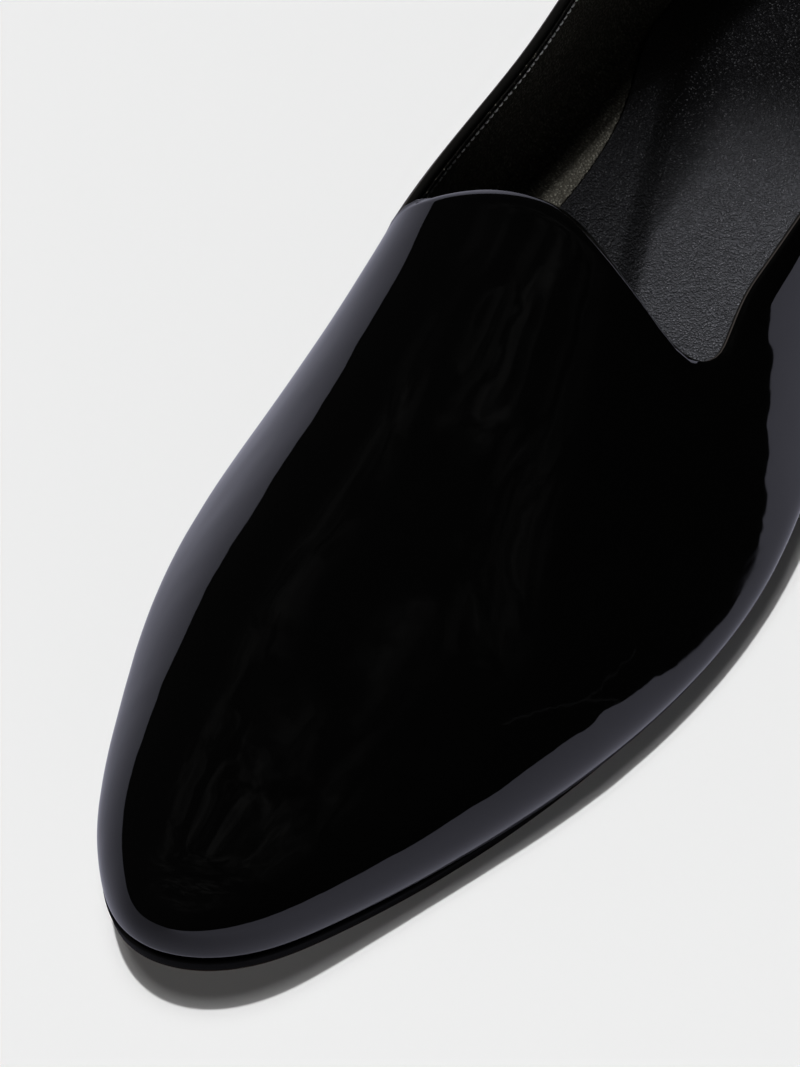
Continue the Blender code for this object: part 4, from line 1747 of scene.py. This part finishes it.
@dataclass
class Sock:
    """Grained leather sock that covers the footbed inside the lining."""

    last: Last
    upper: Upper
    footbed: Footbed
    edge_round: float = 0.12
    edge_width: float = 1.2
    stations: int = 220
    across: int = 72
    toe_end: float = 60.0
    heel_gap: float = 0.03
    margin: float = 0.15

    def edge(self, place: np.ndarray, side: Side) -> np.ndarray:
        """Edge of the sock on one side: the lining's foot less a small margin.

        Args:
            place: angles along the foot.
            side: the side.

        Returns:
            Points in mm.
        """
        inset = self.upper.lining_depth() + self.margin
        return self.last.plan_loop(
            np.pi - side.value * place, lambda t, sign: self.upper.fillet_inset(t, sign) + inset,
            self.footbed.base)

    def grid(self) -> np.ndarray:
        """Upper face: stations along the foot by steps from the medial to the lateral edge.

        Both edges are joined by straight lines, raised to the footbed and rounded down at the rim.

        Returns:
            Points in mm, by station and step.
        """
        place = np.linspace(self.last.place_at(self.toe_end), np.pi - self.heel_gap, self.stations)
        medial, lateral = self.edge(place, Side.MEDIAL), self.edge(place, Side.LATERAL)
        share = np.linspace(0, 1, self.across)[None, :, None]
        face = medial[:, None] + (lateral - medial)[:, None] * share
        x, t = face[..., 0], face[..., 1]
        from_edge = np.minimum(x - medial[:, :1], lateral[:, :1] - x)
        sink = self.edge_round * np.clip(1 - from_edge / self.edge_width, 0, 1)**2
        face[..., 2] = self.footbed.top(x, t) - sink
        return face

    def build(self, shop: Workshop, leather: bpy.types.Material) -> bpy.types.Object:
        """Make the sock as a closed sheet: upper face, rim and lower face.

        Args:
            shop: the workshop.
            leather: finish of the sock.

        Returns:
            The sock.
        """
        top = self.grid()
        low = top.copy()
        low[..., 2] = self.footbed.base(top[..., 1])
        rows, columns = top.shape[:2]
        index = np.arange(rows * columns).reshape(rows, columns)
        quads = np.stack([index[:-1, :-1], index[:-1, 1:], index[1:, 1:], index[1:, :-1]], axis=-1)
        upper = quads.reshape(-1, 4)
        lower = upper[:, ::-1] + rows * columns
        border = np.concatenate([index[0], index[1:, -1], index[-1, -2::-1], index[-2:0:-1, 0]])
        after = np.roll(border, -1)
        rim = np.stack([after, border, border + rows * columns, after + rows * columns], axis=-1)
        faces = np.concatenate([upper, lower, rim]).tolist()
        points = np.concatenate([top.reshape(-1, 3), low.reshape(-1, 3)])
        # Edge share of the sock: painted shade in the crease and over the medial strip, and a painted
        # shadow beside the crease.
        darkening = self.footbed.scuff_and_painted_shade(points[:, 0], points[:, 1])
        return shop.piece("sock", points, faces, leather, "insole", shares=darkening)


@dataclass(frozen=True)
class KeyLight:
    """Key light in two parts: a crisp one, and a wide one that softens the shadow's rim.

    All angles are in degrees, and the azimuth runs from the heel side to the lateral side.
    """

    azimuth: float
    elevation: float
    crisp_spread: float
    crisp_strength: float
    wide_spread: float
    wide_strength: float


@dataclass(frozen=True)
class Studio:
    """Pale floor, key light from above, a soft panel behind, dim room light and the camera."""

    floor_half: float = 9.0
    floor_level: float = -0.0002
    floor_roughness: float = 0.9
    floor_colour: tuple[float, float, float] = (0.79, 0.79, 0.79)
    mirror_medial: tuple[float, float, float] = (0.34, 0.34, 0.415)
    mirror_lateral: tuple[float, float, float] = (0.66, 0.66, 0.81)
    mirror_span: tuple[float, float] = (-0.05, 0.08)
    dim_light: float = 0.010
    streak_light: float = 0.085
    streak_scale: float = 10.0
    patch_scale: float = 5.0
    streak_span: tuple[float, float] = (0.40, 0.70)
    patch_span: tuple[float, float] = (0.32, 0.58)
    streak_heights: tuple[float, float] = (0.5, 0.9)
    room_colour: tuple[float, float, float] = (1.0, 0.99, 0.97)
    fill_light: float = 2.6
    fill_heights: tuple[float, float] = (0.05, 0.45)
    fill_front: tuple[float, float] = (-0.75, -0.15)
    sun_distance: float = 3.0
    shoe_key: KeyLight = KeyLight(-110.0, 62.0, 5.0, 2.4, 18.0, 1.0)
    floor_key: KeyLight = KeyLight(-106.0, 81.0, 2.0, 2.28, 27.0, 0.97)
    panel_azimuth: float = -26.0
    panel_elevation: float = 35.0
    panel_distance: float = 2.2
    panel_size: tuple[float, float] = (1.8, 1.2)
    panel_light: float = 7.2
    panel_fade: tuple[float, float] = (0.22, 0.5)
    panel_colour: tuple[float, float, float] = (0.94, 0.96, 1.06)
    camera_azimuth: float = 26.0
    camera_elevation: float = 49.0
    camera_distance: float = 1200.0
    pixels_per_mm: float = 6.1
    aim: tuple[float, float, float] = (4.16, 64.16, 57.66)
    sensor: float = 36.0

    def floor_paint(self) -> bpy.types.Material:
        """Paint of the floor: plain and pale, and in mirrors darker and cooler, a painted shade that
        only reflections show.

        In mirrors it is darkest on the medial side.

        Returns:
            The material.
        """
        material = bpy.data.materials.new("floor_paint")
        material.use_nodes = True
        bench = NodeBench(material.node_tree)
        shader = material.node_tree.nodes["Principled BSDF"]
        shader.inputs["Roughness"].default_value = self.floor_roughness
        shader.inputs["Specular IOR Level"].default_value = 0.0
        place = bench.add("SeparateXYZ")
        bench.link(bench.add("TexCoord").outputs["Object"], place.inputs["Vector"])
        # Painted shade: seen in mirrors the floor is darker and cooler, darkest on the medial side.
        across = bench.remap(place.outputs["X"], self.mirror_span, (0.0, 1.0))
        mirrored = bench.blend(across, self.mirror_medial, self.mirror_lateral)
        glossy = bench.add("LightPath").outputs["Is Glossy Ray"]
        bench.link(bench.blend(glossy, self.floor_colour, mirrored), shader.inputs["Base Color"])
        return material

    def floor(self) -> bpy.types.Object:
        """Flat pale floor just under the sole.

        Returns:
            The floor.
        """
        half, level = self.floor_half, self.floor_level
        mesh = bpy.data.meshes.new("floor")
        mesh.from_pydata([(-half, -half, level), (half, -half, level), (half, half, level),
                          (-half, half, level)], [], [(0, 1, 2, 3)])
        mesh.materials.append(self.floor_paint())
        ground = bpy.data.objects.new("floor", mesh)
        bpy.context.scene.collection.objects.link(ground)
        return ground

    def streaks(self, bench: NodeBench, around: bpy.types.NodeSocket) -> bpy.types.NodeSocket:
        """Faint smoky streaks of light high in the room, strong in patches, gone near the floor.

        Args:
            bench: bench of the world's tree.
            around: direction from the shoe.

        Returns:
            The streaks' strength.
        """
        stretch = bench.add("Mapping", {"Location": (0.37, 0.21, 0.0), "Rotation": (0.0, 0.0, 0.5),
                                        "Scale": (0.25, 1.0, 0.5)})
        bench.link(around, stretch.inputs["Vector"])
        streak = bench.noise(stretch.outputs["Vector"], self.streak_scale, Detail=5.0, Roughness=0.6,
                             Distortion=1.5)
        patch = bench.noise(stretch.outputs["Vector"], self.patch_scale, Detail=2.0)
        place = bench.add("SeparateXYZ")
        bench.link(around, place.inputs["Vector"])
        line = bench.remap(streak.outputs["Fac"], self.streak_span, (0.0, 1.0))
        cloud = bench.remap(patch.outputs["Fac"], self.patch_span, (0.0, 1.0))
        high = bench.remap(place.outputs["Z"], self.streak_heights, (0.0, self.streak_light))
        return bench.math("MULTIPLY", bench.math("MULTIPLY", line, cloud), high)

    def world(self) -> None:
        """Room light: dim with streaks, a low front fill on dull surfaces, a pale backdrop."""
        world = bpy.data.worlds.new("studio")
        bpy.context.scene.world = world
        world.use_nodes = True
        bench = NodeBench(world.node_tree)
        out = world.node_tree.nodes["World Output"]
        room = world.node_tree.nodes["Background"]
        around = bench.add("TexCoord").outputs["Generated"]
        room.inputs["Color"].default_value = (*self.room_colour, 1)
        seen = bench.math("ADD", self.streaks(bench, around), self.dim_light)
        bench.link(seen, room.inputs["Strength"])
        fill = bench.add("Background", {"Color": (1.0, 1.0, 1.0, 1.0)})
        place = bench.add("SeparateXYZ")
        bench.link(around, place.inputs["Vector"])
        low = bench.remap(place.outputs["Z"], self.fill_heights, (self.fill_light, 0.0))
        front = bench.remap(place.outputs["Y"], self.fill_front, (1.0, 0.0))
        bench.link(bench.math("MULTIPLY", low, front), fill.inputs["Strength"])
        backdrop = bench.add("Background", {"Color": (*self.floor_colour, 1), "Strength": 1.0})
        path = bench.add("LightPath")
        below = room.outputs["Background"]
        for ray, light in (("Is Diffuse Ray", fill), ("Is Camera Ray", backdrop)):
            mix = bench.add("MixShader")
            bench.link(path.outputs[ray], mix.inputs["Fac"])
            bench.link(below, mix.inputs[1])
            bench.link(light.outputs["Background"], mix.inputs[2])
            below = mix.outputs["Shader"]
        bench.link(below, out.inputs["Surface"])

    @staticmethod
    def heading(azimuth: float, elevation: float) -> Vector:
        """Direction from the shoe, with the azimuth in degrees from the heel side to lateral."""
        turn, rise = math.radians(azimuth), math.radians(elevation)
        return Vector((math.sin(turn) * math.cos(rise), math.cos(turn) * math.cos(rise), math.sin(rise)))

    def hang(self, light: bpy.types.Light, towards: Vector, distance: float,
             lit: Sequence[bpy.types.Object]) -> bpy.types.Object:
        """Hang a light that faces the shoe.

        Args:
            light: the light's data.
            towards: direction from the shoe to the light.
            distance: distance in metres.
            lit: the pieces that the light falls on.

        Returns:
            The lamp.
        """
        lamp = bpy.data.objects.new(light.name, light)
        lamp.location = towards * distance
        lamp.rotation_euler = towards.to_track_quat("Z", "Y").to_euler()
        receivers = bpy.data.collections.new(light.name + "_receivers")
        for piece in lit:
            receivers.objects.link(piece)
        lamp.light_linking.receiver_collection = receivers
        bpy.context.scene.collection.objects.link(lamp)
        return lamp

    def key(self, name: str, key: KeyLight, lit: Sequence[bpy.types.Object]) -> None:
        """Hang both parts of a key light, unseen in mirrors.

        Args:
            name: start of both names.
            key: the light.
            lit: the pieces that it falls on.
        """
        towards = self.heading(key.azimuth, key.elevation)
        parts = (("crisp", key.crisp_spread, key.crisp_strength),
                 ("wide", key.wide_spread, key.wide_strength))
        for part, spread, strength in parts:
            sun = bpy.data.lights.new(f"{name}_{part}", "SUN")
            sun.energy = strength
            sun.angle = math.radians(spread)
            self.hang(sun, towards, self.sun_distance, lit).visible_glossy = False

    def panel(self, lit: Sequence[bpy.types.Object]) -> None:
        """Soft panel behind the shoe, for the sheen of some pieces only, dark at its rim.

        Args:
            lit: the pieces that it lights.
        """
        width, height = self.panel_size
        area = bpy.data.lights.new("panel", "AREA")
        area.shape = "RECTANGLE"
        area.size = width
        area.size_y = height
        area.color = self.panel_colour
        area.energy = self.panel_light * math.pi * width * height
        area.use_nodes = True
        bench = NodeBench(area.node_tree)
        apart = bench.add("VectorMath", operation="DISTANCE")
        bench.link(bench.add("NewGeometry").outputs["Parametric"], apart.inputs[0])
        apart.inputs[1].default_value = (0.5, 0.5, 0.0)
        bench.link(bench.remap(apart.outputs["Value"], self.panel_fade, (1.0, 0.0)),
                   area.node_tree.nodes["Emission"].inputs["Strength"])
        towards = self.heading(self.panel_azimuth, self.panel_elevation)
        self.hang(area, towards, self.panel_distance, lit).visible_diffuse = False

    def camera(self, last: Last) -> None:
        """Camera at the viewing angle, with its lens worked out from the scale at the aim point.

        Args:
            last: the last, which knows the frame.
        """
        azimuth, elevation = math.radians(self.camera_azimuth), math.radians(self.camera_elevation)
        back = Vector((math.sin(azimuth) * math.cos(elevation), -math.cos(azimuth) * math.cos(elevation),
                       math.sin(elevation)))
        data = bpy.data.cameras.new("camera")
        data.sensor_width = self.sensor
        data.lens = self.sensor * self.pixels_per_mm * self.camera_distance / IMAGE_HEIGHT
        eye = bpy.data.objects.new("camera", data)
        aim = Vector(last.in_frame(np.array(self.aim)).tolist())
        eye.location = aim + back * self.camera_distance * MM
        eye.rotation_euler = back.to_track_quat("Z", "Y").to_euler()
        bpy.context.scene.collection.objects.link(eye)
        bpy.context.scene.camera = eye

    def build(self, last: Last, pieces: Sequence[bpy.types.Object],
              sheen: Sequence[bpy.types.Object]) -> None:
        """Set the stage: floor, room, lights and camera.

        Args:
            last: the last, which knows the frame.
            pieces: all of the shoe's pieces.
            sheen: the pieces that the panel lights too.
        """
        ground = self.floor()
        self.world()
        self.key("shoe_key", self.shoe_key, pieces)
        self.key("floor_key", self.floor_key, [ground])
        self.panel(sheen)
        self.camera(last)
        bpy.context.scene.view_settings.view_transform = "Standard"


def settle_origin(last: Last, topline: Topline) -> None:
    """Find the frame's origin on the last: both boxes of the upper share their middle.

    Args:
        last: the last, whose origin is set.
        topline: edge of the opening.
    """
    shell = Shell(last, topline, 240)
    low = shell.at_heights(np.linspace(0, 14, 15))
    lift = np.concatenate([low, Shell.between(low[-1], shell.top, 20), shell.top[None]])
    points = shell.surface(lift)[0].reshape(-1, 3)
    middle = (points.min(axis=0) + points.max(axis=0)) / 2
    corner_low, corner_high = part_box("upper")
    solid = (np.array(corner_low) + np.array(corner_high)) / 2 / MM
    last.origin = np.array([middle[0] - solid[0], middle[1] - solid[1], 0.0])


def hairline_ends(last: Last) -> tuple[tuple[Vector, Vector], ...]:
    """Both ends of each hairline, in the frame's plan."""
    ends = np.pad(np.array(HAIRLINES), ((0, 0), (0, 0), (0, 1)))
    return tuple((Vector(start), Vector(end)) for start, end in last.in_frame(ends).tolist())


def main() -> None:
    """Build the shoe's pieces in order and report them."""
    logging.basicConfig(level=logging.INFO, format="%(name)s %(message)s")
    last, topline = Last(), Topline()
    settle_origin(last, topline)
    LOG.info("origin on the last: %s", np.round(last.origin, 2))
    effects = SharedEffects()
    seam_x = float(last.in_frame(np.array([last.heel_tip_x, 0.0, 0.0]))[0])
    patent = PatentFinish("patent_leather", (0.0007, 0.0007, 0.0007), 0.035, refraction=1.38,
                          seam_x=seam_x, hairlines=hairline_ends(last)).build(effects)
    lining = GrainedFinish("lining_leather", (0.094, 0.090, 0.076), 0.62, mirror=0.2, cells=1900.0,
                           grain_depth=0.0003, furrow_colour=(0.045, 0.042, 0.035),
                           fleck_and_glint_colour=(0.30, 0.29, 0.24), fleck_and_glint_share=0.5,
                           darkening_colour=(0.006, 0.0057, 0.0054)).build(effects)
    # On the sock the pale flecks are painted glints, and the dark colour at a high edge share paints
    # shade and a shadow.
    sock_leather = GrainedFinish("sock_leather", (0.0100, 0.0100, 0.0113), 0.38, mirror=0.8,
                                 cells=2300.0, grain_depth=0.00012, furrow_colour=(0.003, 0.003, 0.0034),
                                 fleck_and_glint_colour=(0.085, 0.085, 0.09), fleck_and_glint_share=0.6,
                                 darkening_colour=(0.0015, 0.0015, 0.0017), darkening_dullness=0.3,
                                 darkening_relief=2.5).build(effects)
    sole_leather = SoleFinish("sole_leather", (0.002, 0.002, 0.002), 0.5, mirror=0.02).build(effects)
    heel_rubber = RubberFinish("heel_rubber", (0.004, 0.004, 0.004), 0.45, mirror=0.12).build(effects)
    thread = ThreadFinish("waxed_thread", (0.80, 0.80, 0.82), 0.35).build(effects)
    shop = Workshop(last)
    footbed = Footbed(last)
    upper = Upper(last, topline, footbed)
    stitches = upper.build(shop, patent, lining, thread)
    Bottom(last).build(shop, sole_leather, heel_rubber, lining)
    sock = Sock(last, upper, footbed).build(shop, sock_leather)
    Studio().build(last, shop.made, [sock, stitches])


if __name__ == "__main__":
    main()
